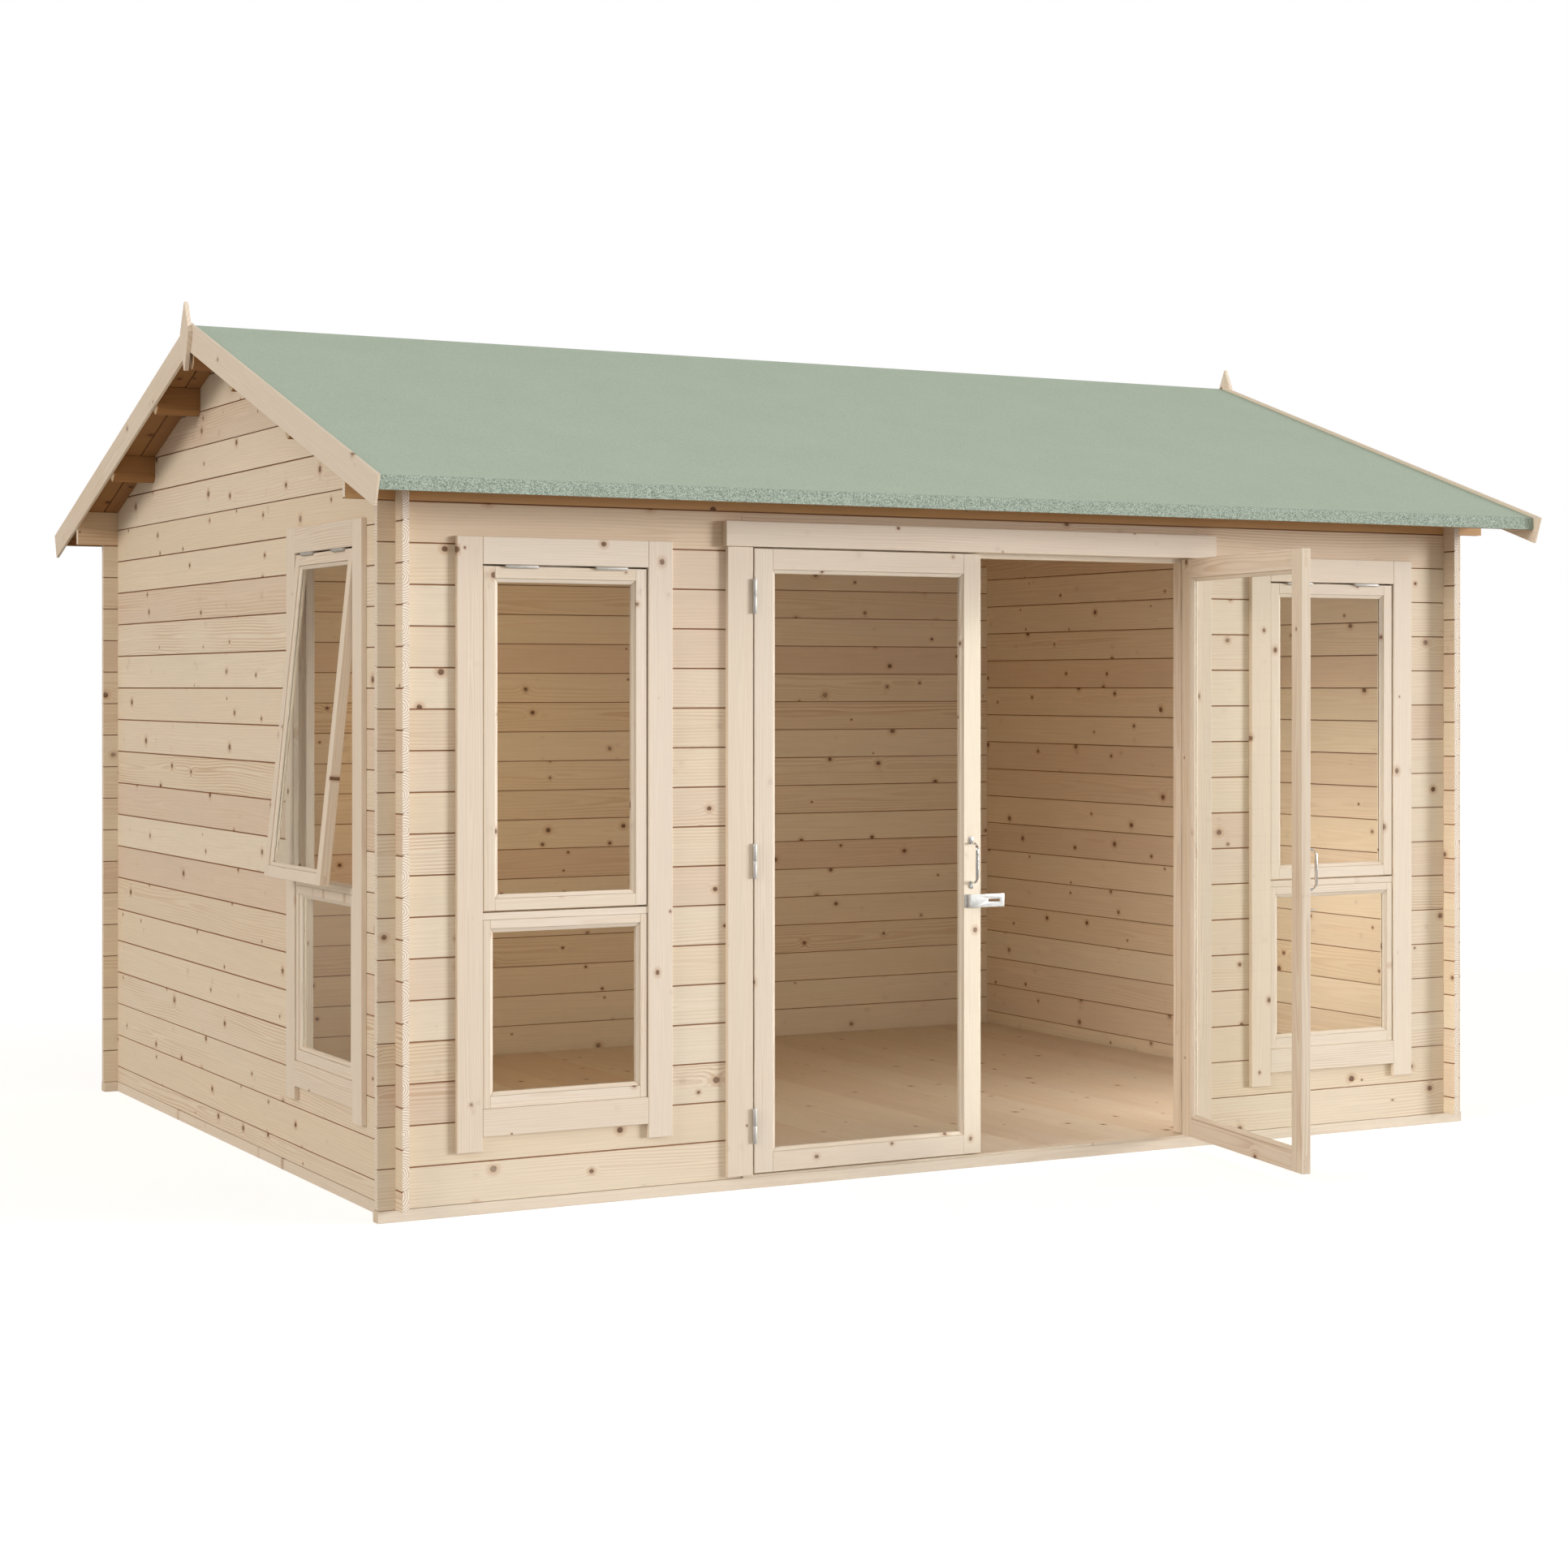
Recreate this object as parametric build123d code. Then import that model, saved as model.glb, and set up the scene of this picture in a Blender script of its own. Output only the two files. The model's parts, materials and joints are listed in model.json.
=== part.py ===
from build123d import *
import os
from math import atan, ceil, cos, sin

# Log cabin: interlocking tongue-and-groove log walls, a felted apex roof on purlins,
# double glazed doors and three top-hung windows.
# Millimetres. X runs along the front, Y from front to back, Z up.
# The origin is on the ground at the middle of the plan.

os.makedirs("parts", exist_ok=True)

# Walls
wall_length = 3770.0        # outer face to outer face, along the front
wall_depth = 2896.0         # outer face to outer face, front to back
log_height = 115.0
log_thickness = 21.0
corner_overrun = 53.0       # log ends that run on past the crossing wall
tongue_width = 9.0
tongue_height = 4.0
seam_reveal = 2.5           # open V between two courses
fit_gap = 0.4               # clearance between neighbouring timbers
notch_share = 0.25          # depth of each corner notch, of a log's height
door_cover_share = 0.25     # least height of the log over the doorway, of a whole log's height
cut_overrun = 60.0          # how far cutting blocks run past what they cut

# Base and floor
bearer_height = 33.0
bearer_width = 40.0
bearer_proud = 5.0
joist_height = 25.0
joist_width = 45.0
joist_count = 7
floor_thickness = 16.0

# Roof
roof_slope_share = 0.346    # rise for each unit of run
gable_overhang = 146.0      # wall face to the inner face of the barge boards
eaves_reach = 249.0         # wall face to the edge of the roof boards
roof_board_thickness = 16.0
felt_thickness = 3.0
drip_depth = 40.0           # felt turned down over the eaves
batten_thickness = 20.0
purlin_width = 45.0
purlin_depth = 85.0
ridge_purlin_depth = 123.0
purlin_chamfer = 16.0       # lower edges of the purlins
purlin_runs = [417.0, 958.0]  # from the ridge to the middle of each purlin
barge_thickness = 10.0
barge_width = 88.0
barge_stand = 10.0          # barge top edge above the felt
barge_reach = 282.0         # wall face to the tip of the barge board
finial_thickness = 15.0
finial_width = 92.0
finial_height = 220.0
finial_rise = 64.0          # finial point above the barge boards' peak
finial_foot_width = 8.0
finial_waist_share = 0.55    # height of the widest place, of the whole finial

# Doorway and doors
door_offset = 9.0           # middle of the doorway from the middle of the wall
door_frame_width = 1640.0
jamb_thickness = 29.0
frame_depth = 60.0
door_head_thickness = 27.0
stop_width = 15.0
threshold_thickness = 8.0
leaf_height = 1834.0
leaf_thickness = 30.0
leaf_gap = 5.0
meeting_gap = 6.5
stile_width = 72.0
top_rail_width = 72.0
bottom_rail_width = 70.0
glass_thickness = 4.0
glass_bite = 8.0            # how far a pane reaches into its groove
trim_thickness = 17.0
door_trim_width = 83.0
head_board_height = 74.0
head_board_thickness = 27.0
head_board_overhang = 10.0
right_leaf_angle = 80.0     # how far the right leaf stands open

# Door hinges, handles and latch
hinge_length = 102.0
hinge_plate_depth = 26.0
hinge_plate_thickness = 2.3
knuckle_radius = 6.0
knuckle_sides = 12          # facets of a fixed hinge barrel
knuckle_gap = 0.5
hinge_inset = 140.0         # leaf end to the middle of the outer hinges
handle_height = 160.0
handle_stand = 42.0
handle_radius = 5.0
handle_bend = 18.0
handle_sides = 8
handle_foot_width = 15.0
handle_foot_height = 24.0
handle_foot_thickness = 2.5
handle_middle = 890.0       # height above the foot of the leaf
hasp_middle = 773.0         # height above the foot of the leaf
hasp_height = 40.0
hasp_inset = 59.0           # part of the hasp that is on its own leaf
hasp_reach = 79.0           # part that laps over the other leaf
hasp_strap_height = 40.0
hasp_thickness = 2.0
hasp_lift = 8.0             # strap above the face of the leaves
hasp_knuckle_inset = 16.0   # plate end to the middle of the hasp's own hinge barrel
hasp_slot_inset = 37.0      # strap end to the middle of its slot
staple_length = 36.0        # along the strap
staple_thickness = 3.0
staple_stand = 24.0
staple_bar = 5.0
staple_plate_width = 44.0
staple_plate_height = 30.0
staple_clearance = 2.5

# Windows
window_offset = 508.0       # wall corner to the middle of a front window
side_window_offset = 562.0  # front corner to the middle of the side window
window_width = 562.0        # over the frame
sill_course = 2             # courses below a window
frame_side_thickness = 25.0
frame_head_thickness = 52.0
frame_sill_thickness = 27.0
window_frame_depth = 45.0
transom_thickness = 20.0
upper_sash_height = 965.0
sash_gap = 3.5
sash_head_gap = 9.0
sash_foot_gap = 5.0
sash_thickness = 30.0
sash_proud = 12.0           # sash face in front of the wall face
sash_stop_cover = 8.0       # how far the frame's stop laps behind the sash
sash_stop_gap = 1.0
sash_stile_width = 46.0
sash_rail_width = 45.0
light_stile_width = 35.0
light_top_rail_width = 36.0
light_foot_rail_width = 45.0
window_trim_width = 77.0
trim_head_rise = 21.0       # side trims above the opening
trim_foot_drop = 87.0       # side trims below the opening
sill_trim_drop = 46.0       # bottom trim below the opening
window_hinge_length = 98.0
window_hinge_radius = 5.0
window_hinge_inset = 114.0  # sash edge to the middle of a hinge
open_sash_angle = 6.0       # the side window's sash stands ajar

# Places worked out from the driving sizes
wall_left = -wall_length / 2
wall_right = wall_length / 2
wall_front = -wall_depth / 2
wall_back = wall_depth / 2
wall_base = bearer_height
half_log = log_height / 2
side_wall_base = wall_base + half_log
front_line = wall_front + log_thickness / 2
back_line = wall_back - log_thickness / 2
left_line = wall_left + log_thickness / 2
right_line = wall_right - log_thickness / 2
stub_left = wall_left - corner_overrun
stub_right = wall_right + corner_overrun
stub_front = wall_front - corner_overrun
stub_back = wall_back + corner_overrun
roof_left = wall_left - gable_overhang
roof_right = wall_right + gable_overhang
roof_angle = atan(roof_slope_share)
threshold_top = wall_base + threshold_thickness
leaf_foot = threshold_top + leaf_gap
leaf_top = leaf_foot + leaf_height
door_head = leaf_top + leaf_gap
door_cover = door_head + door_head_thickness + door_cover_share * log_height
head_course = ceil((door_cover - wall_base) / log_height) - 1   # the course that closes the doorway
course_count = head_course + 2                                  # the eaves log lies on that one
eaves_height = wall_base + course_count * log_height + fit_gap
ridge_height = eaves_height + roof_slope_share * wall_depth / 2
board_rise = roof_board_thickness / cos(roof_angle)
felt_rise = felt_thickness / cos(roof_angle)
board_edge = wall_front - eaves_reach
door_x = door_offset
doorway_left = door_x - door_frame_width / 2
doorway_right = door_x + door_frame_width / 2
leaf_width = door_frame_width / 2 - jamb_thickness - leaf_gap - meeting_gap / 2
leaf_face = wall_front - trim_thickness
hinge_axis_run = door_frame_width / 2 - jamb_thickness - leaf_gap / 2
hinge_axis_y = leaf_face - knuckle_radius
window_sill = wall_base + sill_course * log_height
window_head = wall_base + head_course * log_height


# Height of the underside of the roof boards at a distance in front of or behind the ridge
def roof_underside(y):
    return ridge_height - roof_slope_share * abs(y)


# A block between two corners
def block(x_start, x_end, y_start, y_end, z_start, z_end):
    size = (x_end - x_start, y_end - y_start, z_end - z_start)
    return Pos(x_start, y_start, z_start) * Box(*size, align=(Align.MIN, Align.MIN, Align.MIN))


# A closed outline as a flat face
def outline_face(points):
    return make_face(Polyline(*points, close=True))


# A (Y, Z) outline extruded along X
def prism_along_x(points, x_start, x_end):
    plane = Plane(origin=(x_start, 0, 0), x_dir=(0, 1, 0), z_dir=(1, 0, 0))
    return extrude(plane * outline_face(points), x_end - x_start)


# End section of a log: a trapezoid tongue on top and its groove below
def log_section(height, grooved=True, tongued=True):
    half = log_thickness / 2
    tongue_half = tongue_width / 2
    groove_half = tongue_half + fit_gap
    points = [(half, 0)]
    if tongued:
        crest = height + tongue_height - fit_gap
        points += [(half, height - seam_reveal), (tongue_half, crest)]
        points += [(-tongue_half, crest), (-half, height - seam_reveal)]
    else:
        points += [(half, height), (-half, height)]
    points.append((-half, 0))
    if grooved:
        points += [(-groove_half, tongue_height), (groove_half, tongue_height)]
    return outline_face(points)


# Cutting blocks of the cross-lap notches of one log, along either axis
def notch_blocks(crossings, middle, base, height, along_x, lapped_foot=True, lapped_head=True):
    half_notch = log_thickness / 2 + fit_gap
    depth = log_height * notch_share + fit_gap / 2
    blocks = []
    for crossing in crossings:
        levels = []
        if lapped_foot:
            levels.append((base - cut_overrun, base + depth))
        if lapped_head:
            levels.append((base + height - depth, base + height + cut_overrun))
        for low, high in levels:
            run = (crossing - half_notch, crossing + half_notch)
            side = (middle - cut_overrun, middle + cut_overrun)
            blocks.append(block(*run, *side, low, high) if along_x else block(*side, *run, low, high))
    return blocks


# A log of the front or back wall
def log_along_x(x_start, x_end, middle, base, crossings=(), height=log_height, grooved=True, tongued=True):
    plane = Plane(origin=(x_start, middle, base), x_dir=(0, 1, 0), z_dir=(1, 0, 0))
    log = extrude(plane * log_section(height, grooved, tongued), x_end - x_start)
    for notch in notch_blocks(crossings, middle, base, log_height, True):
        log -= notch
    return log


# A log of a side wall
def log_along_y(y_start, y_end, middle, base, crossings=(), height=log_height, foot=True, head=True):
    plane = Plane(origin=(middle, y_start, base), x_dir=(-1, 0, 0), z_dir=(0, 1, 0))
    log = extrude(plane * log_section(height), y_end - y_start)
    for notch in notch_blocks(crossings, middle, base, height, False, foot, head):
        log -= notch
    return log


# Everything that lies under the roof boards
def under_roof():
    reach = wall_depth / 2 + eaves_reach
    points = [(-reach, 0), (-reach, roof_underside(reach) - fit_gap), (0, ridge_height - fit_gap)]
    points += [(reach, roof_underside(reach) - fit_gap), (reach, 0)]
    return prism_along_x(points, roof_left, roof_right)


nodes = {}


# Keeps the separate solids of some shapes as one named piece
def keep(name, shapes):
    nodes[name] = [solid for shape in shapes for solid in shape.solids()]


# Foundation bearers: the front and back ones run through, the side ones butt between them
def bearers():
    front = (wall_front - bearer_proud, wall_front - bearer_proud + bearer_width)
    back = (wall_back + bearer_proud - bearer_width, wall_back + bearer_proud)
    left = (wall_left - bearer_proud, wall_left - bearer_proud + bearer_width)
    right = (wall_right + bearer_proud - bearer_width, wall_right + bearer_proud)
    between = (front[1] + fit_gap, back[0] - fit_gap)
    long_ones = [block(stub_left, stub_right, *run, 0, bearer_height) for run in (front, back)]
    short_ones = [block(*run, *between, 0, bearer_height) for run in (left, right)]
    return long_ones + short_ones


# Joists and floor fill the room between the bearers
floor_inset = bearer_width - bearer_proud + fit_gap
floor_half_length = wall_length / 2 - floor_inset
floor_half_depth = wall_depth / 2 - floor_inset


def joists():
    pitch = (2 * floor_half_length - joist_width) / (joist_count - 1)
    first = -floor_half_length
    starts = [first + pitch * number for number in range(joist_count)]
    depth = (-floor_half_depth, floor_half_depth)
    return [block(start, start + joist_width, *depth, 0, joist_height) for start in starts]


def floor():
    top = joist_height + floor_thickness
    length = (-floor_half_length, floor_half_length)
    return [block(*length, -floor_half_depth, floor_half_depth, joist_height, top)]


# One log, or two where a window interrupts the course
def course_runs(start, end, course, gap_middle):
    if gap_middle is None or not sill_course <= course < head_course:
        return [(start, end)]
    half_gap = window_width / 2 + fit_gap
    return [(start, gap_middle - half_gap), (gap_middle + half_gap, end)]


# Front wall beside the doorway
def front_wall_side(start, end, window_middle, crossing):
    logs = []
    for course in range(head_course):
        base = wall_base + course * log_height
        for run in course_runs(start, end, course, window_middle):
            laps = [crossing] if run[0] < crossing < run[1] else []
            logs.append(log_along_x(*run, front_line, base, laps))
    return logs


# Eaves log, planed to the slope of the roof and run out to the barge boards
def eaves_log(middle):
    base = wall_base + (course_count - 1) * log_height
    crest = log_height + roof_slope_share * log_thickness
    lines = [left_line, right_line]
    log = log_along_x(roof_left, roof_right, middle, base, lines, crest, tongued=False)
    return log & under_roof()


# Front wall over the doorway
def front_wall_top():
    base = wall_base + head_course * log_height
    head_top = door_head + door_head_thickness + fit_gap
    left_end = doorway_left - fit_gap
    right_end = doorway_right + fit_gap
    short = base + log_height - head_top
    over_door = log_along_x(left_end + fit_gap, right_end - fit_gap, front_line, head_top,
                            height=short, grooved=False)
    left = log_along_x(stub_left, left_end, front_line, base, [left_line])
    right = log_along_x(right_end, stub_right, front_line, base, [right_line])
    return [left, over_door, right, eaves_log(front_line)]


def back_wall():
    lines = [left_line, right_line]
    bases = [wall_base + course * log_height for course in range(course_count - 1)]
    logs = [log_along_x(stub_left, stub_right, back_line, base, lines) for base in bases]
    return logs + [eaves_log(back_line)]


# Side wall: half a log at the foot, so that its courses lie half a log off the front's
def side_wall(middle, window_middle):
    lines = [front_line, back_line]
    logs = [log_along_y(stub_front, stub_back, middle, wall_base, lines, half_log, foot=False)]
    for course in range(course_count - 1):
        base = side_wall_base + course * log_height
        for run in course_runs(stub_front, stub_back, course, window_middle):
            laps = [line for line in lines if run[0] < line < run[1]]
            logs.append(log_along_y(*run, middle, base, laps))
    return logs


# Section of a purlin, its top planed to the roof; grown by a margin it cuts its own seat
def purlin_section(middle, depth, margin):
    half = purlin_width / 2 + margin
    top = [(middle + half, roof_underside(middle + half)), (middle - half, roof_underside(middle - half))]
    if abs(middle) < half:
        top.insert(1, (0, ridge_height))
    foot = roof_underside(middle) - depth - margin
    side = foot + purlin_chamfer
    flat = half - purlin_chamfer
    rise = margin - fit_gap
    base = [(middle - half, side), (middle - flat, foot), (middle + flat, foot), (middle + half, side)]
    return base + [(y, z + rise) for y, z in top]


def purlins(margin=0.0):
    places = [(0.0, ridge_purlin_depth)]
    for run in purlin_runs:
        places += [(-run, purlin_depth), (run, purlin_depth)]
    return [prism_along_x(purlin_section(*place, margin), roof_left, roof_right) for place in places]


# Gable logs, cut to the roof and notched round the purlins
def gable(middle):
    base = side_wall_base + (course_count - 1) * log_height
    roof_space = under_roof()
    seats = purlins(fit_gap)
    pieces = []
    for course in range(ceil((ridge_height - base) / log_height)):
        laps = [front_line, back_line] if course == 0 else []
        log = log_along_y(stub_front, stub_back, middle, base + course * log_height, laps, head=False)
        log = log & roof_space
        for seat in seats:
            log -= seat
        pieces.append(log)
    return pieces


# Outlines of one roof slope, drawn for the front and mirrored for the back
def roof_board_outline():
    edge = (board_edge, roof_underside(board_edge))
    return [edge, (0, ridge_height), (0, ridge_height + board_rise), (edge[0], edge[1] + board_rise)]


drip_foot = roof_underside(board_edge) + board_rise + felt_rise - drip_depth


def felt_outline():
    low = roof_underside(board_edge) + board_rise
    high = ridge_height + board_rise
    face = board_edge - felt_thickness
    crest = low + felt_rise - roof_slope_share * felt_thickness
    points = [(0, high), (board_edge, low), (board_edge, drip_foot), (face, drip_foot)]
    return points + [(face, crest), (0, high + felt_rise)]


def batten_outline():
    inner = board_edge + batten_thickness
    return [(board_edge, drip_foot), (inner, drip_foot), (inner, roof_underside(inner) - fit_gap),
            (board_edge, roof_underside(board_edge) - fit_gap)]


def barge_outline():
    stand = board_rise + felt_rise + barge_stand
    tip = (wall_front - barge_reach, roof_underside(wall_front - barge_reach) + stand)
    heel = (tip[0] + barge_width * sin(roof_angle), tip[1] - barge_width * cos(roof_angle))
    mitre = -fit_gap / 2
    peak = roof_underside(mitre) + stand
    return [tip, heel, (mitre, peak - barge_width / cos(roof_angle)), (mitre, peak)]


def mirrored(points):
    return [(-y, z) for y, z in points]


def barge_pair(x_start, x_end):
    front = barge_outline()
    return [prism_along_x(points, x_start, x_end) for points in (front, mirrored(front))]


# Spear-shaped finial over the joint of two barge boards
def finial(x_start, x_end):
    top = ridge_height + board_rise + felt_rise + barge_stand + finial_rise
    foot = top - finial_height
    waist = foot + finial_height * finial_waist_share
    half_foot = finial_foot_width / 2
    half_waist = finial_width / 2
    points = [(-half_foot, foot), (half_foot, foot), (half_waist, waist), (0, top), (-half_waist, waist)]
    return prism_along_x(points, x_start, x_end)


# Door frame: rebated jambs and head, with a stop behind the leaves
def door_frame():
    stop_face = leaf_face + leaf_thickness + leaf_gap
    back = wall_front + frame_depth
    top = door_head + door_head_thickness
    pieces = []
    for edge, inward in ((doorway_left, 1), (doorway_right, -1)):
        inner = edge + inward * jamb_thickness
        lip = inner + inward * stop_width
        points = [(edge, wall_front), (inner, wall_front), (inner, stop_face)]
        points += [(lip, stop_face), (lip, back), (edge, back)]
        plane = Plane(origin=(0, 0, threshold_top + fit_gap))
        pieces.append(extrude(plane * outline_face(points), door_head - fit_gap - plane.origin.Z))
    lip = door_head - stop_width
    points = [(wall_front, door_head), (stop_face, door_head), (stop_face, lip), (back, lip)]
    points += [(back, top), (wall_front, top)]
    head = prism_along_x(points, doorway_left, doorway_right)
    for edge, inward in ((doorway_left, 1), (doorway_right, -1)):
        reach = edge + inward * (jamb_thickness + stop_width + fit_gap)
        ends = sorted((edge - inward * cut_overrun, reach))
        head -= block(*ends, wall_front - cut_overrun, back + cut_overrun, lip - cut_overrun, door_head)
    pieces.append(head)
    return pieces


def door_trim():
    outer = jamb_thickness - door_trim_width
    foot = threshold_top
    left = (doorway_left + outer, doorway_left + jamb_thickness)
    right = (doorway_right - jamb_thickness, doorway_right - outer)
    sides = [block(*run, leaf_face, wall_front, foot, door_head - fit_gap) for run in (left, right)]
    ends = (left[0] - head_board_overhang, right[1] + head_board_overhang)
    face = wall_front - head_board_thickness
    return sides + [block(*ends, face, wall_front, door_head, door_head + head_board_height)]


def threshold():
    depth = (wall_front - bearer_proud, wall_front - bearer_proud + bearer_width)
    return [block(doorway_left, doorway_right, *depth, wall_base, threshold_top)]


# A framed pane: stiles and rails grooved for the glass, lying in the XZ plane with the face at y_face
def framed_light(x_start, x_end, z_start, z_end, y_face, thickness, stile, foot_rail, top_rail):
    groove_low = y_face + (thickness - glass_thickness) / 2 - fit_gap
    groove_high = groove_low + glass_thickness + 2 * fit_gap
    bite = glass_bite + fit_gap
    back = y_face + thickness

    def grooved(edge, inner, inward):
        deep = inner - inward * bite
        points = [(edge, y_face), (inner, y_face), (inner, groove_low), (deep, groove_low)]
        return points + [(deep, groove_high), (inner, groove_high), (inner, back), (edge, back)]

    pieces = []
    for edge, inward in ((x_start, 1), (x_end, -1)):
        points = grooved(edge, edge + inward * stile, inward)
        pieces.append(extrude(Plane(origin=(0, 0, z_start)) * outline_face(points), z_end - z_start))
    inner_start = x_start + stile + fit_gap
    inner_end = x_end - stile - fit_gap
    for edge, width, inward in ((z_start, foot_rail, 1), (z_end, top_rail, -1)):
        points = [(y, z) for z, y in grooved(edge, edge + inward * width, inward)]
        pieces.append(prism_along_x(points, inner_start, inner_end))
    pane_low = y_face + (thickness - glass_thickness) / 2
    pane = block(x_start + stile - glass_bite, x_end - stile + glass_bite,
                 pane_low, pane_low + glass_thickness,
                 z_start + foot_rail - glass_bite, z_end - top_rail + glass_bite)
    return pieces, pane


# One half of a lift-off hinge about the Z axis; the leaf that it carries lies towards +X
def hinge_half(carries_leaf):
    plate_inner = leaf_gap / 2
    middle = hinge_length / 2
    if carries_leaf:
        plate_run = (plate_inner - hinge_plate_thickness, plate_inner)
        low, high = middle + knuckle_gap / 2, hinge_length
        barrel = Pos(0, 0, (low + high) / 2) * Cylinder(knuckle_radius, high - low)
    else:
        plate_run = (-plate_inner, hinge_plate_thickness - plate_inner)
        low, high = 0, middle - knuckle_gap / 2
        barrel = extrude(RegularPolygon(knuckle_radius, knuckle_sides), high)
    start = knuckle_radius + knuckle_gap
    plate = block(*plate_run, start, start + hinge_plate_depth, 0, hinge_length)
    web = block(*plate_run, 0, start, low, high)
    return plate + web + barrel


def hinge_set(carries_leaf):
    middles = [leaf_foot + hinge_inset, leaf_foot + leaf_height / 2, leaf_top - hinge_inset]
    half = hinge_half(carries_leaf)
    return [Pos(0, hinge_axis_y, middle - hinge_length / 2) * half for middle in middles]


# Bow handle on the face of a leaf, drawn about its middle; its feet point outwards
def bow_handle():
    foot_start = handle_height / 2 - handle_foot_height
    reach = foot_start + handle_radius
    near = -handle_foot_thickness
    far = -handle_stand + handle_radius
    corner = far + handle_bend
    points = [(0, near, -reach), (0, corner, -reach), (0, far, handle_bend - reach)]
    points += [(0, far, reach - handle_bend), (0, corner, reach), (0, near, reach)]
    path = Polyline(*points)
    section = Plane(origin=points[0], z_dir=(0, -1, 0)) * RegularPolygon(handle_radius, handle_sides)
    handle = sweep(section, path, transition=Transition.RIGHT)
    half_width = handle_foot_width / 2
    for run in ((-handle_height / 2, -foot_start), (foot_start, handle_height / 2)):
        handle += block(-half_width, half_width, near, 0, *run)
    return handle


# Hasp: a plate on its own leaf, a hinge barrel and a slotted strap that laps over the other leaf
def hasp():
    half_height = hasp_height / 2
    half_strap = hasp_strap_height / 2
    outer = -hasp_lift - hasp_thickness
    barrel_x = hasp_knuckle_inset - hasp_inset
    barrel = Pos(barrel_x, outer / 2, 0) * Cylinder(-outer / 2, hasp_height)
    plate = block(-hasp_inset, -meeting_gap, -hasp_thickness, 0, -half_height, half_height)
    strap = block(barrel_x, hasp_reach, outer, -hasp_lift, -half_strap, half_strap)
    slot_width = staple_length / 2 + staple_clearance
    slot_height = staple_thickness / 2 + staple_clearance
    run = (staple_run - slot_width, staple_run + slot_width)
    slot = block(*run, outer - cut_overrun, cut_overrun, -slot_height, slot_height)
    return plate + barrel + strap - slot


# Staple that stands through the hasp's slot
def staple():
    half_width = staple_plate_width / 2
    half_height = staple_plate_height / 2
    half_bar = staple_thickness / 2
    half_loop = staple_length / 2
    plate = block(-half_width, half_width, -hasp_thickness, 0, -half_height, half_height)
    loop = block(-half_loop, half_loop, -staple_stand, 0, -half_bar, half_bar)
    eye_half = half_loop - staple_bar
    eye = block(-eye_half, eye_half, staple_bar - staple_stand, -hasp_thickness, -half_height, half_height)
    return plate + loop - eye


staple_run = hasp_reach - hasp_slot_inset


def door_leaf(x_start):
    run = (x_start, x_start + leaf_width, leaf_foot, leaf_top)
    return framed_light(*run, leaf_face, leaf_thickness, stile_width, bottom_rail_width, top_rail_width)


# Left leaf, closed
def left_door():
    start = doorway_left + jamb_thickness + leaf_gap
    end = start + leaf_width
    frame, pane = door_leaf(start)
    handle = Pos(end - stile_width / 2, leaf_face, leaf_foot + handle_middle) * bow_handle()
    latch = Pos(end, leaf_face, leaf_foot + hasp_middle) * hasp()
    hinges = [Pos(door_x - hinge_axis_run, 0, 0) * half for half in hinge_set(True)]
    keep("left_door_leaf", frame)
    keep("left_door_glass", [pane])
    keep("left_door_handle", [handle])
    keep("left_door_hasp", [latch])
    keep("left_door_hinge_plates", hinges)


# Right leaf, standing open about its own hinge line
def right_door():
    end = doorway_right - jamb_thickness - leaf_gap
    start = end - leaf_width
    axis_x = door_x + hinge_axis_run
    frame, pane = door_leaf(start)
    handle = Pos(start + stile_width / 2, leaf_face, leaf_foot + handle_middle) * bow_handle()
    catch = Pos(start - meeting_gap + staple_run, leaf_face, leaf_foot + hasp_middle) * staple()
    hinges = [Pos(axis_x, 0, 0) * mirror(half, Plane.YZ) for half in hinge_set(True)]
    swing = Pos(axis_x, hinge_axis_y, 0) * Rot(0, 0, right_leaf_angle) * Pos(-axis_x, -hinge_axis_y, 0)
    keep("right_door_leaf", [swing * piece for piece in frame])
    keep("right_door_glass", [swing * pane])
    keep("right_door_handle", [swing * handle])
    keep("right_door_staple", [swing * catch])
    keep("right_door_hinge_plates", [swing * half for half in hinges])


def frame_hinges():
    halves = hinge_set(False)
    left = [Pos(door_x - hinge_axis_run, 0, 0) * half for half in halves]
    right = [Pos(door_x + hinge_axis_run, 0, 0) * mirror(half, Plane.YZ) for half in halves]
    return left + right


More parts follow.
